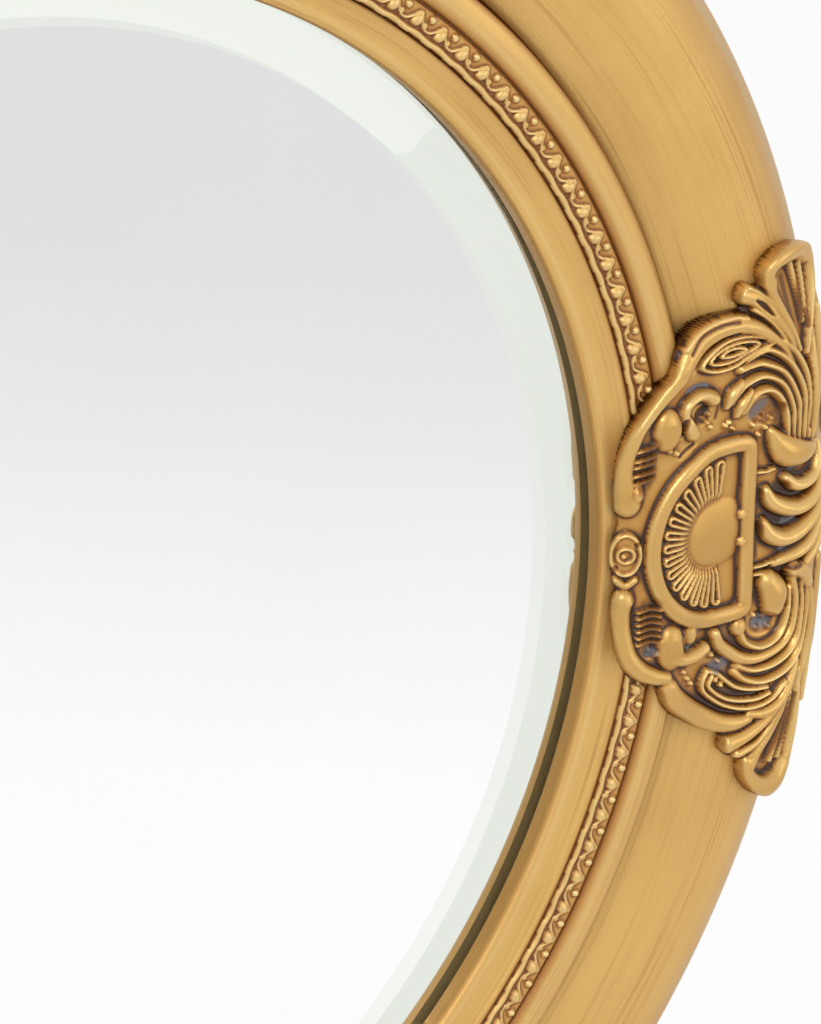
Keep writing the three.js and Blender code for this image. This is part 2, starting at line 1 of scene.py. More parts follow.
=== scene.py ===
"""A round gilded wall mirror: turned moulding, embossed strip, four cast cartouches, bevelled
glass and the fittings of its back. Sizes are in millimetres, times MM where Blender reads them.
x is to the right, -y towards the viewer and z up the wall. A height is counted forward from
the moulding's back face."""

import math

import bpy
import numpy as np
from mathutils import Matrix, Vector


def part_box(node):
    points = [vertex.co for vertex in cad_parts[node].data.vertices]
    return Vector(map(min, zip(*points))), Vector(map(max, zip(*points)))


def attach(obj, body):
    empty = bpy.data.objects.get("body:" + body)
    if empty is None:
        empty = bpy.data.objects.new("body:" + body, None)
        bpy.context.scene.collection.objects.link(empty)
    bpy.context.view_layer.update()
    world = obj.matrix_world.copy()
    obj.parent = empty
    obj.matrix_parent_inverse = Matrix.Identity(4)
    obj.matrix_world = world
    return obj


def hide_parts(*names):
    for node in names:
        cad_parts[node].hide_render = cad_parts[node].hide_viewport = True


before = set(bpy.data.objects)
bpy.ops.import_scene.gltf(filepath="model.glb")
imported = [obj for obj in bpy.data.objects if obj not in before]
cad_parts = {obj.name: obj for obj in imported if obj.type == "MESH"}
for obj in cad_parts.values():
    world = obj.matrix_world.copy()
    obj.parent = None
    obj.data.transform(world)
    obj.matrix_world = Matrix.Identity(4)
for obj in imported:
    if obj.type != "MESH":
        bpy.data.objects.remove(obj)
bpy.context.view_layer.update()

bl_info = {
    "name": "Gilded round mirror",
    "version": (1, 0, 0),
    "blender": (4, 5, 0),
    "location": "View3D > Sidebar > Mirror",
    "description": "Builds a round gilded wall mirror with cast cartouches",
    "category": "Add Mesh",
}

MM = 0.001

# ------------------------------------------------------------------ sizes of the moulding

OUTER_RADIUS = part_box("frame_moulding")[1].x / MM
SIGHT_RADIUS = 178.1
STRIP_INNER = 187.4
STRIP_OUTER = 195.6
HALF_ROUND_OUTER = 204.0
BAND_INNER = 204.9
BAND_CROWN = 221.1
RECESS_RADIUS = 200.6
REBATE_RADIUS = 184.6
RECESS_DEPTH = 9.8
LIP_UNDERSIDE = 17.0

# heights over the underside of the sight lip
NOSE_HEIGHT = 5.4
COVE_TOP = 7.5
CHANNEL_FLOOR = 6.5
HALF_ROUND_RISE = 2.1
GROOVE_HEIGHT = 0.7
BAND_EDGE_HEIGHT = 2.4
CROWN_HEIGHT = 5.8
BAND_FALL = 12.0

# glass
GLASS_RADIUS = 184.0
GLASS_BACK = 13.1
GLASS_FRONT = 18.1
BEVEL_DROP = 2.0

# the castings' highest crests, over the moulding's back
CASTING_CREST = 30.0


# ------------------------------------------------------------------ settings in the sidebar


class MirrorSettings(bpy.types.PropertyGroup):
    bevel_width: bpy.props.FloatProperty(
        name="Bevel width", description="Width of the ground bevel round the glass",
        default=19.5 * MM, min=5 * MM, max=40 * MM, subtype="DISTANCE", unit="LENGTH")
    ring_steps: bpy.props.IntProperty(
        name="Turning steps", description="Facets round the moulding and the glass",
        default=288, min=96, max=512)
    relief_cell: bpy.props.FloatProperty(
        name="Relief cell", description="Size of one face of the cast and pressed relief",
        default=0.34 * MM, min=0.3 * MM, max=1 * MM, subtype="DISTANCE", unit="LENGTH")
    motifs_per_strip: bpy.props.IntProperty(
        name="Motifs", description="Leafy beads along each length of the embossed strip",
        default=36, min=12, max=60)
    petals: bpy.props.IntProperty(
        name="Petals", description="Looped petals round the medallion", default=15, min=7, max=31)
    gold: bpy.props.FloatVectorProperty(
        name="Gold", description="Colour of the gilding on flat stretches",
        default=(0.69, 0.42, 0.125), min=0, max=1, subtype="COLOR")
    cast_gold: bpy.props.FloatVectorProperty(
        name="Cast gold", description="Colour of the gilding on the castings",
        default=(0.6, 0.345, 0.088), min=0, max=1, subtype="COLOR")


# ------------------------------------------------------------------ small helpers


def settings():
    return bpy.context.scene.mirror_settings


def linear(code):
    """A colour written as an sRGB hex code, as linear RGBA."""
    parts = [int(code[i:i + 2], 16) / 255 for i in (1, 3, 5)]
    return (*[c / 12.92 if c <= 0.04045 else ((c + 0.055) / 1.055) ** 2.4 for c in parts], 1.0)


def deselect():
    if bpy.context.object and bpy.context.object.mode != "OBJECT":
        bpy.ops.object.mode_set(mode="OBJECT")
    bpy.ops.object.select_all(action="DESELECT")


def named(name):
    """Names the piece that an operator has just made."""
    piece = bpy.context.object
    piece.name = name
    piece.data.name = name
    return piece


def choose(piece):
    deselect()
    piece.select_set(True)
    bpy.context.view_layer.objects.active = piece


def places(piece):
    """A mesh's points, as an array of rows."""
    flat = np.empty(len(piece.data.vertices) * 3)
    piece.data.vertices.foreach_get("co", flat)
    return flat.reshape(-1, 3)


def move_points(piece, points):
    piece.data.vertices.foreach_set("co", np.ascontiguousarray(points, np.float32).ravel())
    piece.data.update()


def pick(piece, which):
    """Selects these vertices of a mesh, and what they hold together, in edit mode."""
    mesh = piece.data
    bpy.ops.object.mode_set(mode="OBJECT")
    mesh.vertices.foreach_set("select", which)
    edges = np.empty(len(mesh.edges) * 2, int)
    mesh.edges.foreach_get("vertices", edges)
    mesh.edges.foreach_set("select", which[edges.reshape(-1, 2)].all(axis=1))
    mesh.polygons.foreach_set("select", [which[list(p.vertices)].all() for p in mesh.polygons])
    bpy.ops.object.mode_set(mode="EDIT")


def write_attribute(piece, name, values):
    made = piece.data.attributes.new(name, "FLOAT", "POINT")
    made.data.foreach_set("value", np.ascontiguousarray(values, np.float32))


def shade(piece, degrees=None):
    choose(piece)
    if degrees is None:
        bpy.ops.object.shade_smooth()
    else:
        bpy.ops.object.shade_smooth_by_angle(angle=math.radians(degrees))


def apply_modifier(piece, kind, **values):
    """Adds one modifier to a piece and applies it."""
    choose(piece)
    modifier = piece.modifiers.new(kind.title(), kind)
    for name, value in values.items():
        setattr(modifier, name, value)
    bpy.ops.object.modifier_apply(modifier=modifier.name)


def cut(piece, tool):
    """Cuts a tool's shape out of a piece, and deletes the tool."""
    apply_modifier(piece, "BOOLEAN", operation="DIFFERENCE", solver="EXACT", object=tool)
    bpy.data.objects.remove(tool)


def copied(piece, name, matrix):
    """A copy of a finished piece with its own mesh, moved by a matrix."""
    twin = piece.copy()
    twin.data = piece.data.copy()
    twin.name = name
    twin.data.name = name
    bpy.context.scene.collection.objects.link(twin)
    twin.data.transform(matrix)
    return twin


def dress(piece, materials, body, slot, *nodes):
    """Gives a finished piece its materials, its body and the CAD nodes that it stands for."""
    piece.data.materials.clear()
    for material in materials:
        piece.data.materials.append(material)
    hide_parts(*nodes)
    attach(piece, body)


def set_out(master, family, spots):
    """Copies a finished piece to each place, then removes it. Returns the copies by name."""
    pieces = {name: copied(master, family + name, matrix) for name, matrix in spots.items()}
    bpy.data.objects.remove(master)
    return pieces


def about_axis(degrees):
    """A turn about the mirror's axis, from the right towards the top."""
    return Matrix.Rotation(math.radians(-degrees), 4, "Y")


FOUR_SIDES = {side: about_axis(90 * i) for i, side in enumerate(("right", "top", "left", "bottom"))}


def smooth_line(points, spacing, closed=False):
    """Points along a Catmull-Rom curve through the given ones, about so far apart. Rows may
    hold more than a place: what follows it, such as a width, is blended the same way."""
    rows = np.array(points, float)
    if closed:
        rows = np.vstack([rows[-1], rows, rows[:2]])
    else:
        rows = np.vstack([2 * rows[0] - rows[1], rows, 2 * rows[-1] - rows[-2]])
    line = []
    for a, b, c, d in zip(rows, rows[1:], rows[2:], rows[3:]):
        count = max(2, int(np.hypot(*(c - b)[:2]) / spacing))
        t = (np.arange(count) / count)[:, None]
        line.append(0.5 * (2 * b + (c - a) * t + (2 * a - 5 * b + 4 * c - d) * t ** 2
                           + (3 * b - a - 3 * c + d) * t ** 3))
    if not closed:
        line.append(rows[-2][None])
    return np.vstack(line)


def lathe(name, profile, steps, solid=False):
    """Turns (radius, height) points about the mirror's axis. A solid one starts and ends on it."""
    deselect()
    bpy.ops.mesh.primitive_circle_add(vertices=len(profile), radius=1, fill_type="NOTHING")
    piece = named(name)
    profile = np.array(profile, float) * MM
    move_points(piece, np.column_stack([profile[:, 0], -profile[:, 1], np.zeros(len(profile))]))
    if solid:
        ends = np.zeros(len(profile), bool)
        ends[[0, -1]] = True
        bpy.ops.object.mode_set(mode="EDIT")
        bpy.ops.mesh.select_mode(type="VERT")
        bpy.ops.mesh.select_all(action="DESELECT")
        pick(piece, ends)
        bpy.ops.mesh.delete(type="EDGE")
    bpy.ops.object.mode_set(mode="EDIT")
    bpy.ops.mesh.select_all(action="SELECT")
    bpy.ops.mesh.spin(steps=steps, angle=2 * math.pi, center=(0, 0, 0), axis=(0, 1, 0))
    bpy.ops.mesh.select_all(action="SELECT")
    bpy.ops.mesh.remove_doubles(threshold=0.001 * MM)
    bpy.ops.mesh.normals_make_consistent(inside=False)
    bpy.ops.object.mode_set(mode="OBJECT")
    return piece


# ------------------------------------------------------------------ the moulding's section


def cove_line():
    """The rounded sight nose, a shallow cove and the small fillet beside the strip."""
    nose = smooth_line([(SIGHT_RADIUS, 2.6), (178.3, 4.0), (179.2, 5.1), (180.6, NOSE_HEIGHT)], 0.3)
    cove = smooth_line([(180.6, NOSE_HEIGHT), (182.4, 5.5), (184.2, 5.9), (185.9, 6.6), (186.9, 7.3)], 0.5)
    return [*nose[:-1], *cove, (STRIP_INNER, COVE_TOP)]


def half_round_line():
    middle = (STRIP_OUTER + HALF_ROUND_OUTER) / 2
    reach = (HALF_ROUND_OUTER - STRIP_OUTER) / 2
    angles = np.radians(np.linspace(180, 4, 19))
    arc = [(middle + reach * math.cos(a), CHANNEL_FLOOR + HALF_ROUND_RISE * math.sin(a)) for a in angles]
    return [*arc, (HALF_ROUND_OUTER, 5.4), (HALF_ROUND_OUTER, 1.4), (HALF_ROUND_OUTER + 0.3, GROOVE_HEIGHT)]


def band_line():
    """A slow rise to the crown, then a fourth-power fall to the outer edge."""
    rise = CROWN_HEIGHT - BAND_EDGE_HEIGHT
    line = [(BAND_INNER, 1.3), (BAND_INNER + 0.1, 2.0)]
    for t in np.linspace(0.04, 1, 10):
        line.append((BAND_INNER + t * (BAND_CROWN - BAND_INNER), CROWN_HEIGHT - (1 - t) ** 2 * rise))
    for t in np.linspace(0, 1, 21)[1:]:
        line.append((BAND_CROWN + t * (OUTER_RADIUS - BAND_CROWN), CROWN_HEIGHT - BAND_FALL * t ** 4))
    return line


def face_line():
    """The whole front of the moulding, as (radius, height) from the sight edge outwards."""
    channel = [(STRIP_INNER, CHANNEL_FLOOR), (STRIP_OUTER - 0.4, CHANNEL_FLOOR)]
    line = [*cove_line(), *channel, *half_round_line(), *band_line()]
    return [(radius, height + LIP_UNDERSIDE) for radius, height in line]


# ------------------------------------------------------------------ materials


def node(tree, kind, inputs=None, **values):
    """Adds one node with its settings. An input is a value, or the output that feeds it."""
    made = tree.nodes.new(kind)
    for name, value in values.items():
        setattr(made, name, value)
    for socket, value in (inputs or {}).items():
        if isinstance(value, bpy.types.NodeSocket):
            tree.links.new(value, made.inputs[socket])
        else:
            made.inputs[socket].default_value = value
    return made


def start_material(name):
    material = bpy.data.materials.new(name)
    material.use_nodes = True
    tree = material.node_tree
    tree.nodes.clear()
    return material, tree


def end_material(tree, shader):
    node(tree, "ShaderNodeOutputMaterial", {"Surface": shader.outputs[0]})


def noise(tree, where, scale, detail, roughness=0.5):
    return node(tree, "ShaderNodeTexNoise", {
        "Vector": where, "Scale": scale, "Detail": detail, "Roughness": roughness}).outputs["Fac"]


def blend(tree, factor, first, second):
    """The first colour where the factor is 0, and the second where it is 1."""
    return node(tree, "ShaderNodeMix", {"Factor": factor, 6: first, 7: second},
                data_type="RGBA").outputs[2]


def remap(tree, value, old=(0, 1), new=(0, 1)):
    """Carries a value from one range to another, and holds it at the ends."""
    return node(tree, "ShaderNodeMapRange", {
        "Value": value, "From Min": old[0], "From Max": old[1],
        "To Min": new[0], "To Max": new[1]}).outputs[0]


def combine(tree, operation, first, second):
    return node(tree, "ShaderNodeMath", {0: first, 1: second}, operation=operation).outputs[0]


def bumped(tree, height, strength, depth):
    """The surface's normal, roughened by a height of so many millimetres."""
    return node(tree, "ShaderNodeBump", {
        "Height": height, "Strength": strength, "Distance": depth * MM}).outputs[0]


def attribute(tree, name):
    return node(tree, "ShaderNodeAttribute", attribute_name=name).outputs["Fac"]


def piece_coordinates(tree):
    return node(tree, "ShaderNodeTexCoord").outputs["Object"]


def end_principled(tree, inputs):
    end_material(tree, node(tree, "ShaderNodeBsdfPrincipled", inputs))


def turning_coordinates(tree, across_mm, along_mm):
    """Coordinates that run along the turning: fine across the ring and long round it."""
    typical_radius = 215
    flat = node(tree, "ShaderNodeVectorMath", {0: piece_coordinates(tree), 1: (1, 0, 1)},
                operation="MULTIPLY")
    radius = node(tree, "ShaderNodeVectorMath", {0: flat.outputs[0]}, operation="LENGTH")
    unit = node(tree, "ShaderNodeVectorMath", {0: flat.outputs[0]}, operation="NORMALIZE")
    along = node(tree, "ShaderNodeVectorMath", {
        0: unit.outputs[0], "Scale": typical_radius / along_mm}, operation="SCALE")
    across = combine(tree, "MULTIPLY", radius.outputs["Value"], 1 / (across_mm * MM))
    parts = node(tree, "ShaderNodeSeparateXYZ", {0: along.outputs[0]})
    return node(tree, "ShaderNodeCombineXYZ", {
        "X": parts.outputs["X"], "Y": across, "Z": parts.outputs["Z"]}).outputs[0]


def gilding(name, gold, highlight_colour, shadow, patina_and_shade, streaks=0.0, metallic=0.5, rough=(0.34, 0.46)):
    """Bronze powder gilding under a brown wash with painted shade: satin, warm, darker where the
    wash and the painted shade lie. One attribute says where they lie, one where highlights are
    painted lighter, and one where the gilding never reached the casting, which also lays one
    painted shadow in that grey."""
    material, tree = start_material(name)
    where = piece_coordinates(tree)
    toning_and_shade, painted_highlight, bare = [attribute(tree, kind) for kind in ("toning_and_shade", "painted_highlight", "bare")]
    # cloudy differences of the wash, about 30 mm wide
    clouds = noise(tree, where, 32, 3)
    colour = blend(tree, remap(tree, clouds, (0.35, 0.8), (0, 0.22)), gold, shadow)
    # metal powder grain, drawn 0.5 mm wide so that it shows
    height = noise(tree, where, 1900, 2)
    if streaks:
        fine = noise(tree, turning_coordinates(tree, 0.55, 46), 1, 3, 0.62)
        broad = noise(tree, turning_coordinates(tree, 3.2, 120), 1, 2)
        share = combine(tree, "MULTIPLY", remap(tree, broad, (0.38, 0.66)),
                        remap(tree, fine, (0.46, 0.72), (0, streaks)))
        colour = blend(tree, share, colour, shadow)
        height = combine(tree, "ADD", height, fine)
    # painted highlights: the gilding turns to its lightest colour where they lie
    colour = blend(tree, painted_highlight, colour, highlight_colour)
    # a thin layer of wash and painted shade turns the gold amber, and a thick one hides it
    colour = blend(tree, remap(tree, toning_and_shade, (0, 0.5)), colour, linear("#A86F2A"))
    colour = blend(tree, remap(tree, toning_and_shade, (0.4, 1)), colour, patina_and_shade)
    colour = blend(tree, bare, colour, linear("#6E7078"))
    dull = combine(tree, "MAXIMUM", toning_and_shade, bare)
    end_principled(tree, {
        "Base Color": colour, "Metallic": remap(tree, dull, new=(metallic, 0.1)),
        "Roughness": remap(tree, clouds, (0.3, 0.7), rough),
        "Normal": bumped(tree, height, 0.22, 0.4)})
    return material


def turned_gilding():
    """Gilt turned wood: the turning marks show through as fine brown streaks round the ring."""
    return gilding("gilt turned wood", (*settings().gold, 1), linear("#E6C88A"), linear("#A36F2C"),
                   linear("#5A2B10"), streaks=0.6, metallic=0.45, rough=(0.36, 0.46))


def pressed_gilding():
    """Gilt pressed composition: brown wash and painted shade round every bead, painted highlights on the
    bead tops.
    """
    return gilding("gilt pressed composition", (*settings().gold, 1), linear("#F0DCA0"),
                   linear("#9A682C"), linear("#6B3A14"), metallic=0.5)


def cast_gilding():
    """Gilt cast resin: deep brown wash and painted shade in the hollows, painted highlights on the rolls,
    bright as old brass.
    """
    return gilding("gilt cast resin", (*settings().cast_gold, 1), linear("#EBC985"),
                   linear("#8C5A24"), linear("#361B0B"), metallic=0.55, rough=(0.28, 0.4))


def bare_wood():
    """Bare turned poplar on the back: pale, matt, with growth lines about 2 mm apart."""
    material, tree = start_material("bare turned poplar")
    grain = noise(tree, turning_coordinates(tree, 2, 90), 1, 4, 0.6)
    end_principled(tree, {
        "Base Color": blend(tree, grain, linear("#D9BE93"), linear("#B8935F")),
        "Roughness": 0.72, "Normal": bumped(tree, grain, 0.3, 0.3)})
    return material


def clear_glass(name, tint):
    """Polished soda-lime glass, clear but for a faint tint."""
    material, tree = start_material(name)
    end_principled(tree, {
        "Base Color": linear(tint), "Roughness": 0, "IOR": 1.52, "Transmission Weight": 1})
    return material


def silvering():
    """Wet silvering behind the glass: a neutral and nearly perfect reflector."""
    material, tree = start_material("wet silvering")
    # the silver's own faint unevenness, about 60 mm wide
    drift = noise(tree, piece_coordinates(tree), 16, 1)
    end_principled(tree, {
        "Base Color": blend(tree, drift, linear("#FFFFFF"), linear("#FCFCFC")),
        "Metallic": 1, "Roughness": 0})
    return material


def pressed_board():
    """Hardboard: brown pressed wood fibre, matt, with fibre flecks about 1 mm long."""
    material, tree = start_material("pressed hardboard")
    where = piece_coordinates(tree)
    fibre = noise(tree, where, 900, 4, 0.7)
    brown = blend(tree, fibre, linear("#7A5734"), linear("#9C7A50"))
    end_principled(tree, {
        "Base Color": blend(tree, noise(tree, where, 24, 2), brown, linear("#84623C")),
        "Roughness": 0.78, "Normal": bumped(tree, fibre, 0.4, 0.2)})
    return material


def zinc_plate():
    """Bright zinc on pressed steel: cool grey metal with soft 5 mm clouds of the plating."""
    material, tree = start_material("zinc plated steel")
    clouds = noise(tree, piece_coordinates(tree), 190, 3)
    end_principled(tree, {
        "Base Color": blend(tree, clouds, linear("#C9CBC8"), linear("#A9ACAA")), "Metallic": 1,
        "Roughness": remap(tree, clouds, new=(0.2, 0.42)), "Normal": bumped(tree, clouds, 0.1, 0.3)})
    return material


def moulded_rubber():
    """Moulded black rubber: charcoal, matt, with a fine 0.4 mm grain from its mould."""
    material, tree = start_material("moulded rubber")
    grain = noise(tree, piece_coordinates(tree), 2500, 2)
    end_principled(tree, {
        "Base Color": blend(tree, grain, linear("#2B2B2B"), linear("#3C3B3A")),
        "Roughness": 0.82, "Normal": bumped(tree, grain, 0.3, 0.2)})
    return material


# ------------------------------------------------------------------ moulding, glass and board

# brown wash and painted shade in the strip's channel, beside the half-round and in the groove, as radius
# and amount
WASH_AND_SHADE_RINGS = (
    (186.8, 0), (STRIP_INNER, 0.8), (195.4, 0.75), (196.4, 0.4), (198, 0), (202.4, 0), (203.6, 0.4),
    (HALF_ROUND_OUTER, 1), (BAND_INNER, 1), (205.1, 0.45), (206.2, 0),
)
# painted shade on the band where it falls away to the outer edge, as radius and amount
SHADED_OUTER_EDGE = ((236, 0), (250, 0.22))
# painted highlights on the sight nose and on the half-round
HIGHLIGHT_RINGS = ((179.6, 0), (180.6, 0.35), (181.8, 0), (196.6, 0), (198.6, 0.3), (200.6, 0))


class MIRROR_OT_moulding(bpy.types.Operator):
    """Turns the gilded moulding with its rebate and its bare back"""

    bl_idname = "mirror.moulding"
    bl_label = "Moulding"

    def execute(self, context):
        profile = [
            (SIGHT_RADIUS, LIP_UNDERSIDE), *face_line(), (OUTER_RADIUS, 10.2), (OUTER_RADIUS, 1.4),
            (OUTER_RADIUS - 0.4, 0.4), (OUTER_RADIUS - 1.4, 0), (RECESS_RADIUS + 0.3, 0),
            (RECESS_RADIUS, 0.3), (RECESS_RADIUS, RECESS_DEPTH), (REBATE_RADIUS, RECESS_DEPTH),
            (REBATE_RADIUS, LIP_UNDERSIDE),
        ]
        ring = lathe("turned_moulding", profile, settings().ring_steps)
        shade(ring, 34)
        points = places(ring) / MM
        radius = np.hypot(points[:, 0], points[:, 2])
        toning_and_shade = np.interp(radius, *zip(*WASH_AND_SHADE_RINGS))
        # painted shade on the inner face of the sight lip, below the nose
        toning_and_shade = np.where(radius < 178.9, 0.25, toning_and_shade)
        toning_and_shade += np.interp(radius, *zip(*SHADED_OUTER_EDGE))
        highlit = np.interp(radius, *zip(*HIGHLIGHT_RINGS))
        front = -points[:, 1] > 9
        write_attribute(ring, "toning_and_shade", np.where(front, toning_and_shade, 0.2))
        write_attribute(ring, "painted_highlight", np.where(front, highlit, 0))
        dress(ring, [turned_gilding(), bare_wood()], "frame", "gilded_wood", "frame_moulding")
        inside = OUTER_RADIUS - 1.0
        for face in ring.data.polygons:
            centre = Vector(face.center) / MM
            hidden = -centre.y < LIP_UNDERSIDE and math.hypot(centre.x, centre.z) < inside
            face.material_index = 1 if face.normal.y > 0.5 or hidden else 0
        return {"FINISHED"}


class MIRROR_OT_glass(bpy.types.Operator):
    """Makes the bevelled glass, silvered on its back face, and finishes the backing board"""

    bl_idname = "mirror.glass"
    bl_label = "Glass and board"

    def execute(self, context):
        bevel_radius = GLASS_RADIUS - settings().bevel_width / MM
        slab = lathe("bevelled_glass", [
            (0, GLASS_BACK), (GLASS_RADIUS, GLASS_BACK), (GLASS_RADIUS, GLASS_FRONT - BEVEL_DROP),
            (bevel_radius, GLASS_FRONT), (0, GLASS_FRONT),
        ], settings().ring_steps, solid=True)
        dress(slab, [clear_glass("float glass", "#FEFEFE"), silvering(),
                     clear_glass("ground bevel", "#EEF3EA")], "frame", "mirror_glass", "mirror_glass")
        for face in slab.data.polygons:
            if face.normal.y > 0.9:
                face.material_index = 1
            elif -face.normal.y < 0.9999:
                face.material_index = 2
        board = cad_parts["backing_board"]
        board.data.materials.clear()
        board.data.materials.append(pressed_board())
        return {"FINISHED"}


# ------------------------------------------------------------------ relief


class Relief:
    """A height field over a flat drawing, worked with brushes, then laid over the moulding. One field
    says where brown wash and painted shade lie, another where the gilding never reached the grey
    casting, with one painted shadow among those marks."""

    def __init__(self, low, high, cell):
        self.low = np.array(low, float)
        self.cells = np.ceil((np.array(high, float) - self.low) / cell).astype(int)
        self.step = (np.array(high, float) - self.low) / self.cells
        self.x = self.low[0] + self.step[0] * np.arange(self.cells[0] + 1)[:, None]
        self.v = self.low[1] + self.step[1] * np.arange(self.cells[1] + 1)[None, :]
        self.height = np.zeros((self.cells[0] + 1, self.cells[1] + 1))
        self.wash_and_shade = np.zeros_like(self.height)
        self.bare = np.zeros_like(self.height)

    def dab(self, field, x, v, long, wide, top, tilt=0.0, edge=0.5, sharp=False):
        """Raises a field at one spot, long along x before it is tilted. A sharp spot is a peak
        with hollow flanks, and any other one is round."""
        reach = max(long, wide)
        spot_low = np.floor((np.array([x, v]) - reach - self.low) / self.step).astype(int)
        spot_high = np.ceil((np.array([x, v]) + reach - self.low) / self.step).astype(int) + 1
        i0, j0 = np.maximum(spot_low, 0)
        i1, j1 = np.minimum(spot_high, self.cells + 1)
        if i0 >= i1 or j0 >= j1:
            return
        dx = self.x[i0:i1] - x
        dv = self.v[:, j0:j1] - v
        cos, sin = math.cos(math.radians(tilt)), math.sin(math.radians(tilt))
        off = ((dx * cos + dv * sin) / long) ** 2 + ((dv * cos - dx * sin) / wide) ** 2
        form = top * np.maximum(1 - (np.sqrt(off) if sharp else off), 0) ** edge
        window = field[i0:i1, j0:j1]
        np.maximum(window, form, out=window)

    def trail(self, path, widths, tops, edge=0.5, sharp=False, closed=False):
        """The form that a brush leaves along a curve, with widths and tops spread along it."""
        field = np.zeros_like(self.height)
        at = np.linspace(0, 1, len(path))
        wide = np.interp(at, np.linspace(0, 1, len(widths)), widths)
        high = np.interp(at, np.linspace(0, 1, len(tops)), tops)
        for x, v, width, top in smooth_line(np.column_stack([path, wide, high]), 0.18, closed):
            self.dab(field, x, v, width / 2, width / 2, top, edge=edge, sharp=sharp)
        return field

    def roll(self, path, widths, tops, edge=0.5, sharp=False, closed=False):
        self.height = np.maximum(self.height, self.trail(path, widths, tops, edge, sharp, closed))

    def touch(self, x, v, long, wide, top, tilt=0.0, edge=0.5):
        self.dab(self.height, x, v, long, wide, top, tilt, edge)

    def carve(self, path, widths, depth, wash_and_shade=1.0):
        """Cuts a groove along a curve, in which brown wash and painted shade lie."""
        groove = self.trail(path, widths, [1, 1], edge=0.8)
        self.height = self.height - depth * groove
        self.wash_and_shade = np.maximum(self.wash_and_shade, wash_and_shade * groove)

    def sink(self, x, v, long, wide, depth):
        """Hollows out one spot, in which some brown wash and painted shade lie."""
        pit = np.zeros_like(self.height)
        self.dab(pit, x, v, long, wide, 1.0, edge=0.8)
        self.height = self.height - depth * pit
        self.wash_and_shade = np.maximum(self.wash_and_shade, 0.6 * pit)

    def stain(self, path, widths, wash_and_shade=0.0, bare=0.0):
        """Marks brown wash with painted shade, and bare casting, along a curve, and leaves the height
        alone.
        """
        mark = self.trail(path, widths, [1, 1], edge=0.7)
        self.wash_and_shade = np.maximum(self.wash_and_shade, wash_and_shade * mark)
        self.bare = np.maximum(self.bare, bare * mark)

    def blurred(self, reach):
        """The heights averaged over about this many millimetres."""
        field = self.height
        for axis in (0, 1):
            half = max(1, int(round(2 * reach / self.step[axis])))
            weights = np.exp(-0.5 * (np.arange(-half, half + 1) * self.step[axis] / reach) ** 2)
            padded = np.pad(field, [(half, half) if k == axis else (0, 0) for k in (0, 1)], "edge")
            size = field.shape[axis]
            field = sum(w * np.take(padded, range(i, i + size), axis=axis)
                        for i, w in enumerate(weights / weights.sum()))
        return field


def relief_piece(name, relief, place, inside, edge_round, thickness, skirt=0.0):
    """A closed sheet over a drawing: a grid is cut to its outline and given a back, then its
    points are laid in place. inside gives each point's distance within the outline, and a
    skirt takes the sheet's edge further down."""
    deselect()
    bpy.ops.mesh.primitive_grid_add(
        x_subdivisions=int(relief.cells[0]), y_subdivisions=int(relief.cells[1]), size=1)
    piece = named(name)
    spots = np.rint((places(piece)[:, :2] + 0.5) * relief.cells).astype(int)
    depth = inside[spots[:, 0], spots[:, 1]]
    bpy.ops.object.mode_set(mode="EDIT")
    bpy.ops.mesh.select_mode(type="VERT")
    bpy.ops.mesh.select_all(action="DESELECT")
    pick(piece, depth < 0)
    bpy.ops.mesh.delete(type="VERT")
    bpy.ops.mesh.select_all(action="SELECT")
    bpy.ops.mesh.extrude_region()
    bpy.ops.object.mode_set(mode="OBJECT")
    count = len(piece.data.vertices)
    front = np.empty(count, bool)
    piece.data.vertices.foreach_get("select", front)
    spots = np.rint((places(piece)[:, :2] + 0.5) * relief.cells).astype(int)
    i, j = spots[:, 0], spots[:, 1]
    drawn = np.column_stack([relief.x[i, 0], relief.v[0, j]])
    margin = np.clip(inside[i, j] / edge_round, 0, 1)
    shoulder = np.sqrt(1 - (1 - margin) ** 2)
    top = relief.height[i, j]
    under = -thickness - skirt * np.clip(1 - inside[i, j], 0, 1)
    height = np.where(front, -thickness + (thickness + top) * (0.25 + 0.75 * shoulder), under)
    move_points(piece, place(drawn[:, 0], drawn[:, 1], height))
    # brown wash and painted shade lie in narrow and in broad hollows, and painted highlights on the crests
    narrow = (relief.blurred(0.5) - relief.height)[i, j]
    broad = (relief.blurred(1.7) - relief.height)[i, j]
    toning_and_shade = np.maximum(2.6 * narrow + 0.9 * broad - 0.02, relief.wash_and_shade[i, j])
    # painted shade along the outline's edge, where the casting's side wall stands in shade
    toning_and_shade = np.clip(toning_and_shade + 0.4 * (1 - margin) ** 2, 0, 1)
    write_attribute(piece, "toning_and_shade", np.where(front, toning_and_shade, 0.5))
    painted_highlight = np.clip(-1.5 * narrow - 0.3 * broad - 0.12, 0, 0.8)
    write_attribute(piece, "painted_highlight", np.where(front, painted_highlight, 0))
    write_attribute(piece, "bare", np.where(front, relief.bare[i, j], 0))
    bpy.ops.object.mode_set(mode="EDIT")
    pick(piece, ~front)
    bpy.ops.mesh.decimate(ratio=0.04)
    bpy.ops.mesh.select_all(action="SELECT")
    bpy.ops.mesh.normals_make_consistent(inside=False)
    bpy.ops.object.mode_set(mode="OBJECT")
    shade(piece)
    return piece


# ------------------------------------------------------------------ embossed strip


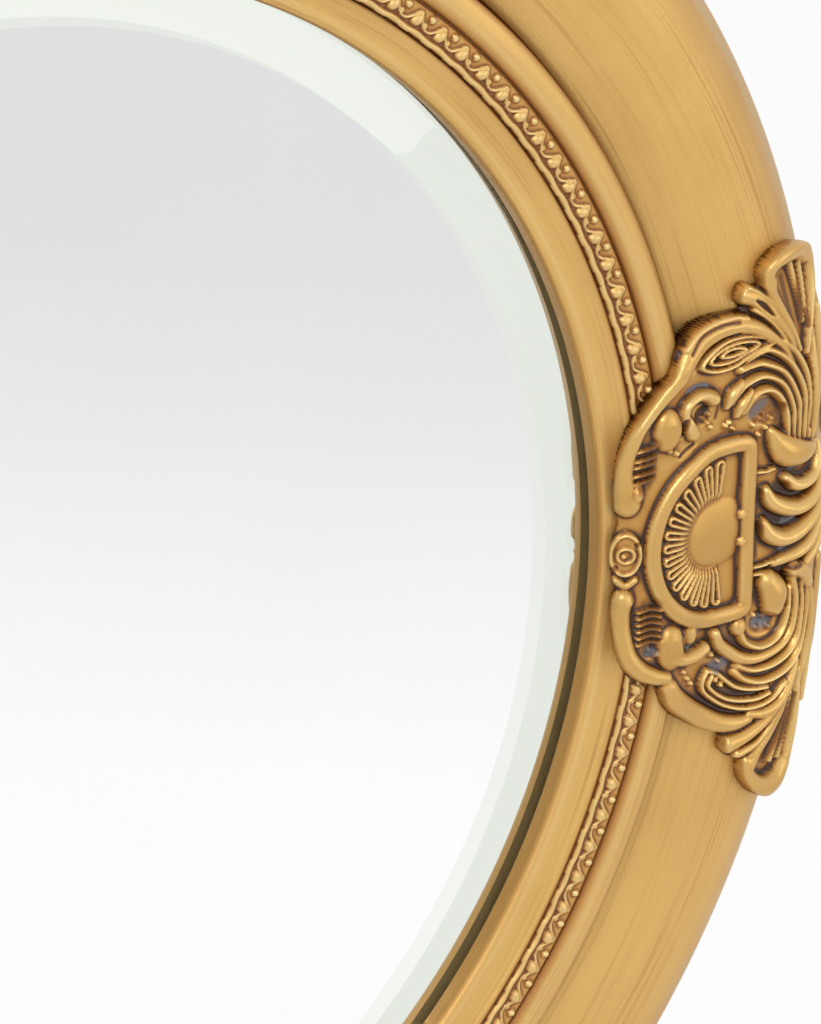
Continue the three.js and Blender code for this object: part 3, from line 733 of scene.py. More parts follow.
def strip_relief(pitch, wide, cell):
    """One motif after another: a slanted leaf bead, a pearl, and a wave that runs between them."""
    count = settings().motifs_per_strip
    relief = Relief((0, 0), (wide, pitch * count), cell)
    # painted shade along the strip's outer edge beside the half-round, and in the dark line inside the wavy
    # edge
    relief.wash_and_shade = relief.wash_and_shade + 0.55 * np.exp(-((relief.x - wide) / 1.1) ** 2)
    relief.wash_and_shade = np.maximum(relief.wash_and_shade, 0.7 * np.exp(-((relief.x - 2.2) / 0.45) ** 2))
    for v in np.arange(0, pitch * count + 0.1, 0.14):
        turn = 2 * math.pi * v / pitch
        relief.touch(1.15 + 0.2 * math.sin(turn), v, 0.8, 0.8, 0.85)
        relief.touch(4.5 - 1.7 * math.cos(turn), v + 0.5 * math.sin(turn), 0.42, 0.42, 0.75)
    for i in range(count + 1):
        middle = i * pitch
        relief.touch(4.0, middle + 0.5 * pitch, 2.1, 1.5, 1.35, tilt=-28)
        relief.touch(6.0, middle + 0.02 * pitch, 1.05, 0.95, 1.1, tilt=20)
        relief.touch(3.9, middle + 0.12 * pitch, 0.6, 0.9, 0.6, tilt=-30)
    return relief


class MIRROR_OT_strips(bpy.types.Operator):
    """Presses the embossed strip in four lengths that butt end to end"""

    bl_idname = "mirror.strips"
    bl_label = "Embossed strips"

    def execute(self, context):
        gap = 0.25
        inner = STRIP_INNER + gap
        wide = STRIP_OUTER - 0.3 - inner
        middle = inner + wide / 2
        start = math.radians(-67.5)
        length = middle * math.pi / 2
        relief = strip_relief(length / settings().motifs_per_strip, wide,
                              settings().relief_cell / MM)
        base = LIP_UNDERSIDE + CHANNEL_FLOOR + 1.0

        def place(x, v, height):
            angle = start + np.clip(v / middle, 0.0006, math.pi / 2 - 0.0006)
            radius = (inner + x) * MM
            return np.column_stack([radius * np.cos(angle), -(base + height) * MM, radius * np.sin(angle)])

        inside = np.minimum(relief.x, wide - relief.x) + 0 * relief.v
        strip = relief_piece("strip", relief, place, inside, 0.5, 0.95)
        gilt = pressed_gilding()
        for side, piece in set_out(strip, "pressed_strip_", FOUR_SIDES).items():
            dress(piece, [gilt], "frame", "gilded_strip", f"strip_{side}")
        return {"FINISHED"}


# ------------------------------------------------------------------ cast cartouche
#
# Drawn flat, as if the moulding were unrolled: x runs outwards from the strip's inner edge
# and v runs round the mirror. The two halves are alike without being mirror images. A form is
# its curve, its widths along the curve and its heights.

UPPER_OUTLINE = [
    (-8.8, 0), (-8.4, 4), (-7.2, 7), (-6.9, 8.8), (-8.2, 12), (-8.5, 18.4), (-8.1, 24.7), (-7, 29.2),
    (-5.2, 33.7), (-2, 38.1), (2.8, 43.2), (5.3, 45.2), (6.7, 47.6), (8, 51.2), (10.6, 53.8),
    (14.2, 55.9), (18, 57.3), (22.1, 57.9), (28.4, 58), (27, 59.6), (26.5, 61.7), (27.4, 63.8),
    (29.3, 64.8), (31.4, 63.6), (33.2, 63.4), (33.1, 67.2), (34.9, 69.6), (37.6, 71.2), (41.4, 71.9),
    (46.5, 71.4), (50.4, 69.4), (54.6, 64), (59, 56), (63.5, 46), (66.5, 34), (68.4, 20), (69, 0),
]

LOWER_OUTLINE = [
    (-8.6, -4), (-7.6, -7.6), (-7.4, -9.6), (-8.2, -11.5), (-8.2, -15.8), (-7.1, -24.2), (-5.2, -29.9),
    (-1.8, -33.9), (2.7, -35.8), (5.2, -37.4), (6.2, -40), (6.9, -41.9), (9.1, -44.6), (13.9, -48.4),
    (18.8, -51.9), (23.8, -54.3), (27, -56), (26.6, -58.8), (27.5, -60.8), (29.6, -62.7), (32.3, -63.6),
    (32.6, -67.6), (34, -70.9), (37.2, -74.4), (41, -76.6), (46, -76.4), (50.5, -73), (54.6, -66),
    (59, -57), (63.5, -46), (66.5, -34), (68.4, -20),
]

# round forms of the upper half
UPPER_FORMS = {
    "inner scroll": (
        [(-4.9, 14), (-6, 20), (-5.9, 25), (-4.7, 29.6), (-2.4, 34.6), (1.4, 39), (5.4, 42.6),
         (8.6, 45.6)],
        [6.6, 5.2, 4.8, 4.4, 3.8, 3.9, 4.4, 5.2], [2.8, 3]),
    "outer scroll": (
        [(7.6, 44.4), (9.9, 47.4), (12.6, 50.6), (16.1, 52.9), (20.2, 54.2), (24.4, 54.5), (28.6, 53.9),
         (32.6, 52.4), (36.8, 49.6), (40.8, 45.8), (44, 41)],
        [5, 5.8, 6.4, 6.6, 6.2, 5.6, 5, 4.2, 3.2, 2.2, 1.4], [3, 3.3, 3.3, 1.8]),
    "scroll rim": (
        [(9.6, 51.6), (13.4, 54.6), (17.8, 56.2), (22.2, 56.8), (26.2, 56.7), (29.6, 55.8)],
        [1.3, 1.3], [2.6, 2.6]),
    "ear curl": (
        [(13.2, 29.2), (11.6, 31.8), (9.9, 34.6), (10.4, 37.2), (13.4, 38.6), (16.8, 38.2),
         (19.4, 36.8)],
        [4.2, 3.2, 2.6, 2.6, 3, 3.6, 4.2], [2.4, 3.4]),
    "small leaf": ([(24.2, 33.2), (25.6, 36.4), (28.6, 39.2)], [1.4, 3.2, 1.2], [1.8, 2.6, 1.8]),
    "second small leaf": (
        [(27.4, 30.4), (28.6, 33.2), (31.6, 36.2)],
        [1.8, 3.2, 1.4], [1.8, 2.6, 1.8]),
    "curled leaf": (
        [(28.4, 61.8), (31.6, 60.4), (35.2, 57.4), (39, 53), (42.4, 48.2), (45, 43)],
        [5.2, 5, 4.4, 3.4, 2.4, 1.4], [3.2, 3.3, 3, 2.7, 2.4, 1.8]),
    "leaf crest": (
        [(29, 64), (32, 62.2), (36, 58.8), (40, 54), (43.6, 48.4)],
        [1.8, 1], [3.5, 2.3]),
    "leaf foot": ([(31.4, 57.4), (35, 54.8), (39, 50.6), (42.8, 45)], [1.4, 1.4], [2.5, 2.3]),
    "plume crest": (
        [(36.2, 61.4), (35, 65), (36, 68.2), (39.6, 70), (43.8, 70.2), (48, 68.8), (51, 65.4)],
        [3.6, 4.6, 5.6, 6.4, 6.8, 6.6, 5.4], [3.2, 3.6, 4, 4.3, 4.3, 4, 3.4]),
    "plume left": (
        [(35.8, 64), (36.6, 60.6), (39.6, 55.6), (43.4, 49.6), (46.2, 43.6)],
        [4.6, 4.2, 3.4, 2.2, 1.4], [3.5, 2]),
    "plume right": (
        [(51, 66), (51.8, 60), (51.2, 53.6), (50, 47.6), (49, 42)],
        [4.2, 3.2, 2.6, 2, 1.4], [3.4, 2]),
    "outer tail": (
        [(51, 47.6), (50.9, 42.8), (51.6, 37), (52.7, 31), (52.7, 25), (52, 19)],
        [1.8, 2.6, 3.2, 3.4, 3, 2], [2.2, 2.6, 2.8, 2.8, 2.4, 1.8]),
    "outer leaf": (
        [(53.2, 52.6), (54.6, 46.6), (55.6, 39.6), (55.6, 32), (54.8, 25)],
        [2.2, 2.6, 2.8, 2.6, 1.6], [3.2, 1.4]),
    "edge leaf": (
        [(62.5, 18), (62.4, 30), (61, 40), (58.6, 50), (55, 60)],
        [4, 6, 6, 5, 2], [1.4, 2.2, 1.4]),
    "side bulb": (
        [(38.4, 23.6), (40.4, 20.4), (43.4, 17.6), (47.2, 16.2), (50.6, 16.2), (53, 17.4)],
        [2.6, 6, 8.4, 7.2, 4.4, 1.6], [1.8, 3.4, 4.4, 4, 3, 1.6]),
}

# the fan's sharp crests, then the thin loops in the scroll's eye
UPPER_CRESTS = (
    [(29.2, 31), (32.6, 34.9), (36.4, 35.6), (40, 33.2), (42.4, 28.6), (43.2, 23.6), (43.3, 20)],
    [(25.4, 34.2), (27.6, 36.8), (30, 38.6), (35.2, 39.4), (41, 36), (44.4, 29.4), (45, 24), (45.2, 20)],
    [(28.4, 42.3), (31.6, 42.9), (35, 42.7), (41.4, 38.9), (45.8, 31.3), (46.6, 26), (46.8, 20)],
    [(29.8, 44.6), (33.4, 45.9), (37, 45.9), (43, 41.3), (47.6, 33.4), (48.5, 27), (48.6, 20)],
    [(36, 48.6), (40, 47.6), (44.6, 43.4), (48.4, 37), (50, 30), (50.4, 24), (50.3, 19.5)],
)
UPPER_LOOPS = (
    [(15.7, 45.9), (18.3, 44), (22.5, 43.4), (26.6, 44.1), (29.8, 45.6), (33.4, 46.8), (38, 48),
     (33.8, 49.8), (29.5, 50.8), (24.4, 50.9), (19.8, 49.2)],
    [(18.4, 46.2), (21, 45.2), (25.4, 45.3), (29.2, 46.6), (33.4, 48.3), (29.4, 49.5), (24.6, 49.5),
     (20.6, 48.2)],
    [(22, 46.9), (25.6, 46.6), (29.4, 47.6), (26.6, 48.4), (23.6, 48.2)],
)

LOWER_FORMS = {
    "inner scroll": (
        [(-5.2, -11.4), (-5.9, -16), (-5.4, -21.6), (-3.8, -27), (-0.6, -31), (3.4, -33.4), (7, -34.6)],
        [5.4, 5.4, 5.4, 5.2, 5, 4.6, 4], [2.9, 2.3]),
    "outer scroll": (
        [(8, -37.4), (9.4, -40.2), (12, -43.2), (16, -46.4), (20.8, -49.6), (25.4, -52), (30.2, -53.2),
         (34.6, -53)],
        [5.2, 6, 6.4, 6.4, 6, 5.4, 4.6, 3.2], [2.8, 3, 3.2, 3.3, 3.2, 3, 2.8, 2.2]),
    "scroll lobe": (
        [(34.6, -51.6), (39.4, -52.4), (44, -50.8), (47.6, -46.6), (50, -41)],
        [2.4, 3.8, 3.6, 2.8, 1.6], [2.2, 2.6, 2.6, 2.4, 1.8]),
    "hook": (
        [(8.6, -29.6), (12, -30.6), (15.6, -30.6), (19.2, -29.8)],
        [4.4, 4, 4, 3.6], [2.8, 3, 3.2, 3]),
    "curled leaf": (
        [(28.6, -58.6), (33, -57.6), (38.4, -55.2), (43, -51.6), (47, -46.6), (49.8, -40.6)],
        [5.6, 4.8, 3.8, 3, 2.2, 1.4], [3.2, 3.2, 2.9, 2.6, 2.3, 1.8]),
    "leaf crest": (
        [(31.4, -61.8), (35.6, -60.4), (40.4, -57), (44.6, -52.4)],
        [3.2, 3.2, 2.6, 1.6], [3, 3, 2.6, 2]),
    "plume crest": (
        [(34.4, -64.6), (34.6, -68.4), (37, -72), (41, -74), (45.6, -73.6), (49.4, -70.4)],
        [4.2, 5.6, 6.4, 6.6, 6.6, 5.6], [3.2, 3.6, 4, 4.2, 4.2, 3.8]),
    "plume left": (
        [(35, -66), (37, -62.6), (41, -58.4), (45, -53), (48, -47)],
        [5, 4.6, 3.4, 2.4, 1.4], [3.4, 1.8]),
    "plume right": (
        [(50, -71), (52, -64), (52.4, -57), (51.8, -50), (51, -44)],
        [4.6, 3.6, 2.8, 2.2, 1.4], [3.6, 2]),
    "outer tail": (
        [(51.6, -47.6), (52.6, -42.8), (53.4, -37), (54, -31), (53.8, -25), (53, -19)],
        [1.8, 2.6, 3.2, 3.4, 3, 2], [2.2, 2.6, 2.8, 2.8, 2.4, 1.8]),
    "outer leaf": (
        [(54.2, -54), (55.6, -47), (56.8, -40), (57, -32), (56.4, -25)],
        [2.4, 2.4], [3, 1.4]),
    "edge leaf": (
        [(62.5, -18), (62.4, -30), (61, -40), (58.6, -50), (55, -60)],
        [4, 6, 6, 5, 2], [1.4, 2.2, 1.4]),
    "side bulb": ([(38.8, -16.4), (40.6, -19.6), (40.8, -23.2)], [6.4, 8.2, 7], [3.8, 4.4, 3.4]),
    "second bulb": ([(46.4, -14.6), (49.6, -16.4), (52, -20)], [4.6, 4.6, 3.6], [3.8, 3.6, 3]),
    "rolled crest": (
        [(22.8, -26.8), (24.2, -29.8), (26.8, -32.4), (30.4, -35), (34.5, -36.3), (38.8, -36.1),
         (43.2, -34.7), (46, -32), (47.4, -28), (47.8, -22.6), (46.6, -16.6)],
        [3.4, 3.8, 3.4, 2.8, 2.4, 2.4], [2.8, 2.2]),
}

LOWER_CRESTS = (
    [(29.9, -37.1), (33.1, -38.8), (36.3, -39.6), (40.9, -39.3), (45.3, -37.7), (48.6, -34.3),
     (49.8, -29), (50.2, -23.6), (49.2, -18)],
    [(29.5, -38.8), (32.3, -41.3), (36.6, -43.1), (41.2, -43.1), (46.3, -41.4), (49.7, -38),
     (51.6, -32.4), (52.4, -26), (51.8, -20)],
    [(30.4, -27.6), (32.4, -31.4), (35.8, -33.4), (38.9, -33.5), (42.1, -32.2), (44.2, -29.6),
     (45.6, -24.8), (45.8, -20)],
)
LOWER_LINES = (
    [(20.5, -36.3), (23.7, -37.7), (27, -40.7), (30, -43), (34.6, -44.6), (39.6, -45.2)],
    [(20.5, -36.3), (19, -39.2), (19.8, -41.8), (22.3, -44.2), (26.2, -47), (31.7, -49.3),
     (37.1, -49.9), (41.5, -48.8), (45.6, -45.4)],
    [(22.2, -38.2), (21.2, -40.4), (23.4, -43), (27.2, -45.6), (31.6, -47.1), (36.5, -47.7),
     (40.4, -47)],
)

# the horn-like ribs at the middle, which all sweep upwards as they roll over the outer edge
RIBS = (
    ([(43.4, 10.2), (46.2, 8), (49.6, 7.8), (52.8, 9.2), (54.6, 12.4), (55.2, 16.6)],
     [3.2, 3.8, 3.6, 3.2, 2.6, 1.6], [2.8, 3.6, 3.6, 3.2, 2.6, 1.6]),
    ([(37.4, 8.2), (38.8, 5.4), (42, 3.2), (46, 1.9), (50, 2.2), (53.6, 4), (56.2, 7.4), (57.4, 12)],
     [3, 4.4, 5, 4.8, 4.4, 3.6, 2.8, 1.8], [2.6, 3.8, 4.4, 4.4, 4, 3.4, 2.6, 1.6]),
    ([(36.9, -0.6), (38.6, -3.4), (42, -5.2), (46, -5), (50, -3.4), (53.6, -1.2), (56.6, 2), (58.6, 6.6)],
     [3.4, 4.8, 5.2, 5, 4.4, 3.6, 3, 2], [2.8, 4, 4.5, 4.4, 4, 3.4, 2.6, 1.6]),
    ([(40.6, -12.2), (43.6, -11.4), (47.4, -10.6), (51, -9.2), (54.4, -6.6), (57.4, -3), (59.6, 1.4)],
     [2.4, 3.4, 4, 4, 3.6, 3, 2], [2, 2.8, 3.4, 3.4, 3, 2.4, 1.6]),
    ([(50.8, -14.6), (54.6, -11.8), (58, -8), (60.8, -3.6)], [2.8, 3.6, 3.4, 2], [2.4, 2.8, 2.4, 1.4]),
)
RIDGELETS = (
    [(34.4, -11.8), (37.4, -11.9), (40.2, -11.4)], [(34.4, -13.8), (36.6, -14), (38.6, -13.8)],
    [(34.6, 13.6), (37.4, 13.3), (39.8, 13.6)],
)

# curve, widths and depth
GROOVES = (
    ([(10.6, 50.4), (14, 53.6), (18, 55.2), (22.2, 55.8), (26.4, 55.6)], [0.9, 0.9], 0.7),
    ([(31.2, 60.4), (34, 58.2), (37, 55)], [0.6, 1.7, 0.6], 1.5),
    ([(52.6, 48.6), (53, 42), (53.4, 36)], [1, 1], 0.7),
    ([(49.6, 40), (50.6, 34), (50.9, 28), (50.6, 22)], [1, 1], 0.9),
    ([(13.6, 45.6), (15.4, 48), (18.6, 50.4), (22.6, 52), (27, 52.4)], [2, 0.6], 1.6),
    ([(10, 33.4), (9.8, 29.4)], [1.8, 1.8], 1.4),
    ([(9.8, 23.6), (12, 25), (14.2, 25.8)], [1.2, 1.2], 1.0),
    ([(31.6, -60), (36.4, -58.6), (41, -55.4)], [0.9, 1.5, 0.6], 1.4),
    ([(44.4, -15.4), (45, -19.6), (44.8, -24.4)], [0.9, 0.9], 2.0),
    ([(11.6, -22.6), (11.4, -25.4), (12, -28)], [1.2, 1.2], 0.8),
)

# brown wash and painted shade without a groove: curve, widths and how much
WASH_AND_SHADE_MARKS = (
    ([(40.8, 63.6), (42.6, 57.4), (45.6, 48.6)], [2.6, 2], 0.8),
    ([(44.2, 64.6), (46, 57), (47.6, 48.6)], [1.2, 1], 0.8),
    ([(48.4, 64.6), (49.4, 56.6), (49.2, 48.6)], [2, 1.4], 0.8),
    ([(40.6, -67), (44.4, -60), (48, -51)], [2.2, 1.4], 0.8),
    ([(44.6, -68.6), (47.4, -60), (49.6, -51)], [1.2, 1], 0.8),
    ([(48.4, -67), (50.4, -60), (50.8, -51)], [1.8, 1.2], 0.8),
    ([(45, 5.2), (49, 4.8), (53, 6.6)], [1.4, 1.4], 1.0),
    ([(43, -14), (48, -13.6)], [1.4, 1.4], 0.9),
    ([(35.6, 9.4), (35.4, 0), (35.6, -9.6)], [2, 2], 0.9),
    ([(22.4, 38), (22.2, 34), (21.4, 31)], [1.6, 1.6], 0.8),
    ([(40.4, 26), (40.4, 30.4)], [3, 3], 0.8),
    ([(41.2, 8.4), (42, 8.4)], [4.4, 4.4], 1.0),
    ([(14, 24), (26, 26.6)], [1.6, 1.6], 0.7),
)

# grey casting that the gilding never reached, and one painted shadow above the ear curl: curve and width
BARE_AND_SHADOWED_SPOTS = (
    ([(45.6, 12.4), (49.4, 12.8), (52.2, 14.6)], 1.9), ([(43.6, -1.8), (47, -1.7)], 1.8),
    ([(43.6, -9), (47.6, -7.8), (51.6, -5.8)], 2.0), ([(33, 29.6), (36, 31.2)], 4.4),
    # the first mark on this line is a painted shadow above the ear curl, in the bare casting's grey
    ([(36, -27), (39, -27.8)], 4.4), ([(11.6, 40.4), (15, 41), (18.6, 40.2)], 1.4),
    ([(14, -28.4), (16.6, -26.6), (18.4, -24.4)], 1.2), ([(23.4, -36), (26.2, -36)], 4.0),
    ([(2, -26.8), (3.2, -26.8)], 3.4),
)

# hollows: place, half width, half length and depth
HOLLOWS = (
    (36.4, 29.6, 4.6, 3.8, 1.2), (38, -27.4, 4, 3.6, 1.2), (17, 32.6, 3, 2.6, 1.2),
    (2.6, -26.8, 2.2, 1.8, 0.8), (-7.2, -3.2, 1, 1, 0.8), (-1.9, 3, 0.9, 0.9, 0.8),
)

# single bulbs and lobes: place, half width, half length, height
BULBS = (
    (-4.8, 14, 3.5, 3.8, 3.0), (-2.6, 16.6, 1.7, 2.6, 3.1), (5.4, 31.6, 4.2, 5.6, 2.8),
    (-5.2, -12, 2.9, 2.6, 3), (8.6, -27, 4.2, 6.2, 2.8), (14.2, -24.4, 2, 3.2, 2.4),
    (30.4, -26.8, 2.4, 2.6, 2.4), (23.6, -39.6, 0.9, 0.9, 2), (25.4, -41.4, 0.8, 0.8, 2),
)

PEARLS = (
    (19.5, 29.1), (24.3, 28.3), (26.6, 27), (25.4, 29), (32.9, 26.6), (35.6, 27.7), (38.6, 27.2),
    (36.7, 25.2), (34.6, 23.7), (17.6, 31.8), (19.2, 32.4), (18.4, 30.6), (2.3, 32.9), (6.4, 26),
    (8.4, 25), (35.3, -25), (38.4, -26.2), (36.8, -28.8), (40.3, -29.2), (22.4, -32.6),
    (24.6, -34.8), (13, -34.6), (14.4, -36.8), (15.8, -38.6), (2.2, -26.2), (4, -27.6), (4.6, -25.4),
)


def medallion(relief):
    """The D-shaped medallion: a flat-topped rim round a dished shell of looped petals."""
    centre, half_x, half_v, side = 22.8, 20.8, 22.6, 32.0
    rim_wide = 4.4
    bow = np.radians(np.arange(90, 271, 12))
    rim = [(centre + half_x * math.cos(a), half_v * math.sin(a)) for a in bow]
    corner = half_v - 3.2
    rim += [(28.4, -half_v), (31.2, 0.7 - half_v), (side, -corner), (side, -8), (side, 8), (side, corner),
            (31.2, half_v - 0.7), (28.4, half_v)]
    relief.roll(rim, [rim_wide, rim_wide], [2.5, 2.5], closed=True, edge=0.3)
    # petals fan out from a hub a little left of the centre, as far as the rim's inner edge
    hub, first, last = 21.5, 78, 282
    dx, dv = relief.x - hub + 0 * relief.v, relief.v + 0 * relief.x
    radius = np.hypot(dx, dv)
    turn = np.arctan2(dv, dx)
    in_x, in_v, off = half_x - rim_wide / 2, half_v - rim_wide / 2, hub - centre
    square = (np.cos(turn) / in_x) ** 2 + (np.sin(turn) / in_v) ** 2
    half_b = off * np.cos(turn) / in_x ** 2
    reach = (np.sqrt(half_b ** 2 + square * (1 - (off / in_x) ** 2)) - half_b) / square
    degrees = np.degrees(turn) % 360
    spread = (last - first) / settings().petals
    aside = (((degrees - first) / spread) % 1 - 0.5) * np.radians(spread) * radius
    half = 0.25 * np.radians(spread) * np.minimum(radius, reach)
    bend = np.maximum(radius - (reach - half - 1.3), 0)
    offset = np.abs(np.hypot(aside, bend) - half)
    fan = (degrees > first) & (degrees < last) & (radius < reach)
    fade = np.clip((radius - 8.0) / 3.0, 0, 1)
    ridge = np.where(fan, 1.5 * fade * np.maximum(1 - (offset / 0.5) ** 2, 0) ** 0.6, 0)
    disc = 1.3 * np.clip(1 - ((relief.x - 23.4) / 10.5) ** 2 - (relief.v / 9) ** 2, 0, 1) ** 0.8
    relief.height = np.maximum(relief.height, np.maximum(ridge, disc))
    shade_in = fan & (radius > 9.0) & (ridge < 0.6) & (disc < 0.3)
    relief.wash_and_shade = np.maximum(relief.wash_and_shade, np.where(shade_in, 0.62, 0))
    for v in (3.5, -3.7):
        relief.touch(30.2, v, 1.5, 1.5, 2.4)


def rosette(relief):
    """A small oval flower with two rings and an eye, on the axis at the inner edge."""
    middle = (-4.7, 0.3)
    relief.touch(*middle, 4, 6.2, 1.2, edge=0.3)
    for half_x, half_v, wide, high in ((3.5, 5.3, 1.2, 2.0), (2.0, 1.9, 1.0, 2.4)):
        turns = np.radians(np.arange(0, 360, 24))
        ring = [(middle[0] + half_x * math.cos(a), middle[1] + half_v * math.sin(a)) for a in turns]
        relief.roll(ring, [wide, wide], [high, high], closed=True)
    relief.touch(-5.2, 0, 0.8, 0.8, 2.2)
    relief.roll([(-7, -6.4), (-4.6, -8), (-2.4, -6.6)], [2.2, 2.2], [1.6, 1.6])


def ladders(relief):
    """The short ridges beside the inner scroll, over a dark ground."""
    relief.stain([(-0.6, 18.6), (0.4, 28.4)], [6, 6], wash_and_shade=0.75)
    relief.stain([(1.6, -14.6), (1.8, -24.8)], [7, 7], wash_and_shade=0.75)
    for v in (19.5, 21.5, 23.8, 25.4, 27.9):
        relief.roll([(-3.4, v - 0.4), (1.6, v + 0.5)], [1.1, 1.3], [1.7, 1.9])
    for k in range(6):
        v = -15.4 - 1.75 * k
        relief.roll([(-1.4, v), (1.6, v + 0.6), (4.8, v - 0.4)], [1, 1.1], [1.7, 1.9])


def cartouche_relief(cell):
    """The whole relief: round forms first, then crests, grooves and hollows, then the wash and painted
    shade.
    """
    relief = Relief((-9.5, -78.5), (70.5, 74), cell)
    for path, widths, tops in [*UPPER_FORMS.values(), *LOWER_FORMS.values(), *RIBS]:
        relief.roll(path, widths, tops)
    for place in BULBS:
        relief.touch(*place)
    medallion(relief)
    rosette(relief)
    ladders(relief)
    for path in [*UPPER_CRESTS, *LOWER_CRESTS]:
        relief.roll(path, [3.2, 2.6, 2.2], [2.2, 2.8, 2.6, 2.2], edge=0.8, sharp=True)
    for path, wide in zip(UPPER_LOOPS, (1.3, 1.0, 1.0)):
        relief.roll(path, [wide, wide], [2.2, 2.2], closed=True)
    for path in LOWER_LINES:
        relief.roll(path, [1.5, 1.5], [2.3, 2.3])
    for path in RIDGELETS:
        relief.roll(path, [1.1, 1.1], [2, 2])
    # two sharp ribs along each plume
    for side in (1, -1):
        for path in ([(42.4 + 0.2 * side, side * 67), (45.6, side * 58.6), (48, side * 50)],
                     [(46, side * 67.4), (48, side * 58.8), (49.4, side * 50)]):
            relief.roll(path, [1.4, 0.9], [2.8, 2.1], edge=0.8, sharp=True)
    for x, v in PEARLS:
        relief.touch(x, v, 0.75, 0.75, 1.5)
    for path, widths, depth in GROOVES:
        relief.carve(path, widths, depth)
    for x, v, half_x, half_v, depth in HOLLOWS:
        relief.sink(x, v, half_x, half_v, depth)
    for path, widths, wash_and_shade in WASH_AND_SHADE_MARKS:
        relief.stain(path, widths, wash_and_shade=wash_and_shade)
    for path, wide in BARE_AND_SHADOWED_SPOTS:
        relief.stain(path, [wide, wide], bare=0.8)
    # a softly swelling ground under the scrolls
    relief.height = relief.height + 0.9 * np.exp(
        -(((relief.x - 38) / 15) ** 2 + ((np.abs(relief.v) - 38) / 18) ** 2))
    relief.height = relief.blurred(0.2)
    return relief


def within(relief, outline):
    """How far each point of the drawing lies inside a closed outline; negative outside it."""
    line = smooth_line(outline, 0.5, closed=True)
    x = relief.x + 0 * relief.v
    v = relief.v + 0 * relief.x
    nearest = np.full(x.shape, 1e9)
    crossings = np.zeros(x.shape, int)
    for (ax, av), (bx, bv) in zip(line, np.roll(line, -1, axis=0)):
        run, rise = bx - ax, bv - av
        size = run * run + rise * rise
        if size == 0:
            continue
        t = np.clip(((x - ax) * run + (v - av) * rise) / size, 0, 1)
        np.minimum(nearest, (x - ax - t * run) ** 2 + (v - av - t * rise) ** 2, out=nearest)
        if av != bv:
            crosses = ((av > v) != (bv > v)) & (x < ax + (v - av) * run / rise)
            crossings += crosses
    return np.where(crossings % 2 == 1, np.sqrt(nearest), -np.sqrt(nearest))


def cartouche_ground():
    """The casting's plain ground over the moulding, as radii, heights and lengths along it."""
    up = LIP_UNDERSIDE
    spine = smooth_line([
        (178.6, 5.0 + up), (180.6, 7.2 + up), (186.6, 10.0 + up), (194, 10.4 + up), (201, 10.2 + up),
        (210, 8.2 + up), (221.1, 7.4 + up), (235.4, 6.5 + up), (243.2, 3.4 + up), (248.2, -1.0 + up),
        (250.8, -6.2 + up), (251.0, -9.0 + up),
    ], 0.25)
    lengths = np.concatenate([[0], np.cumsum(np.hypot(*np.diff(spine, axis=0).T))])
    return spine[:, 0], spine[:, 1], lengths


class MIRROR_OT_cartouches(bpy.types.Operator):
    """Casts the scroll cartouche once and sets it on the four sides of the moulding"""

    bl_idname = "mirror.cartouches"
    bl_label = "Cast cartouches"

    def execute(self, context):
        relief = cartouche_relief(settings().relief_cell / MM)
        inside = within(relief, [*UPPER_OUTLINE, *reversed(LOWER_OUTLINE)])
        ground_radius, ground_height, lengths = cartouche_ground()
        start = np.interp(STRIP_INNER, ground_radius, lengths)
        slope_r = np.gradient(ground_radius, lengths)
        slope_h = np.gradient(ground_height, lengths)

        def place(x, v, height):
            flat = STRIP_INNER + x
            spread = np.hypot(flat, v)
            at = start + spread - STRIP_INNER
            out, up = np.interp(at, lengths, slope_r), np.interp(at, lengths, slope_h)
            size = np.hypot(out, up)
            radius = np.interp(at, lengths, ground_radius) - height * up / size
            forward = np.interp(at, lengths, ground_height) + height * out / size
            forward = np.minimum(forward, CASTING_CREST)
            return np.column_stack([radius * flat / spread, -forward, radius * v / spread]) * MM

        casting = relief_piece("casting", relief, place, inside, 0.9, 1.2, skirt=3.2)
        gilt = cast_gilding()
        for side, piece in set_out(casting, "cast_cartouche_", FOUR_SIDES).items():
            dress(piece, [gilt], "frame", "gilded_casting", f"cartouche_{side}")
        return {"FINISHED"}


# ------------------------------------------------------------------ fittings of the back

UPRIGHT = Matrix.Rotation(math.radians(90), 4, "X")
SIDEWAYS = Matrix(((0, 0, 1, 0), (1, 0, 0, 0), (0, 1, 0, 0), (0, 0, 0, 1)))

# places of the two hangers, the six turn buttons and the two bumpers
HANGER_X = (OUTER_RADIUS - 18) * math.cos(math.radians(62))
HANGER_Z = (OUTER_RADIUS - 18) * math.sin(math.radians(62))
STRAP_SCREW_DROPS = (19, 26)
BUTTON_PIVOT = REBATE_RADIUS + 6.6
BUTTON_BACK = 8.0
BUMPER_SPOT = (113, -195.72)
HANDS = {"right": 1, "left": -1}
BUTTON_TURNS = {str(i + 1): about_axis(30 + 60 * i) for i in range(6)}


def shift(x, y, z):
    return Matrix.Translation((x * MM, y * MM, z * MM))


def arc(centre, radius, start, end, steps):
    """Points of an arc, with its angles in degrees."""
    turns = np.radians(np.linspace(start, end, steps + 1))
    return [(centre[0] + radius * math.cos(a), centre[1] + radius * math.sin(a)) for a in turns]


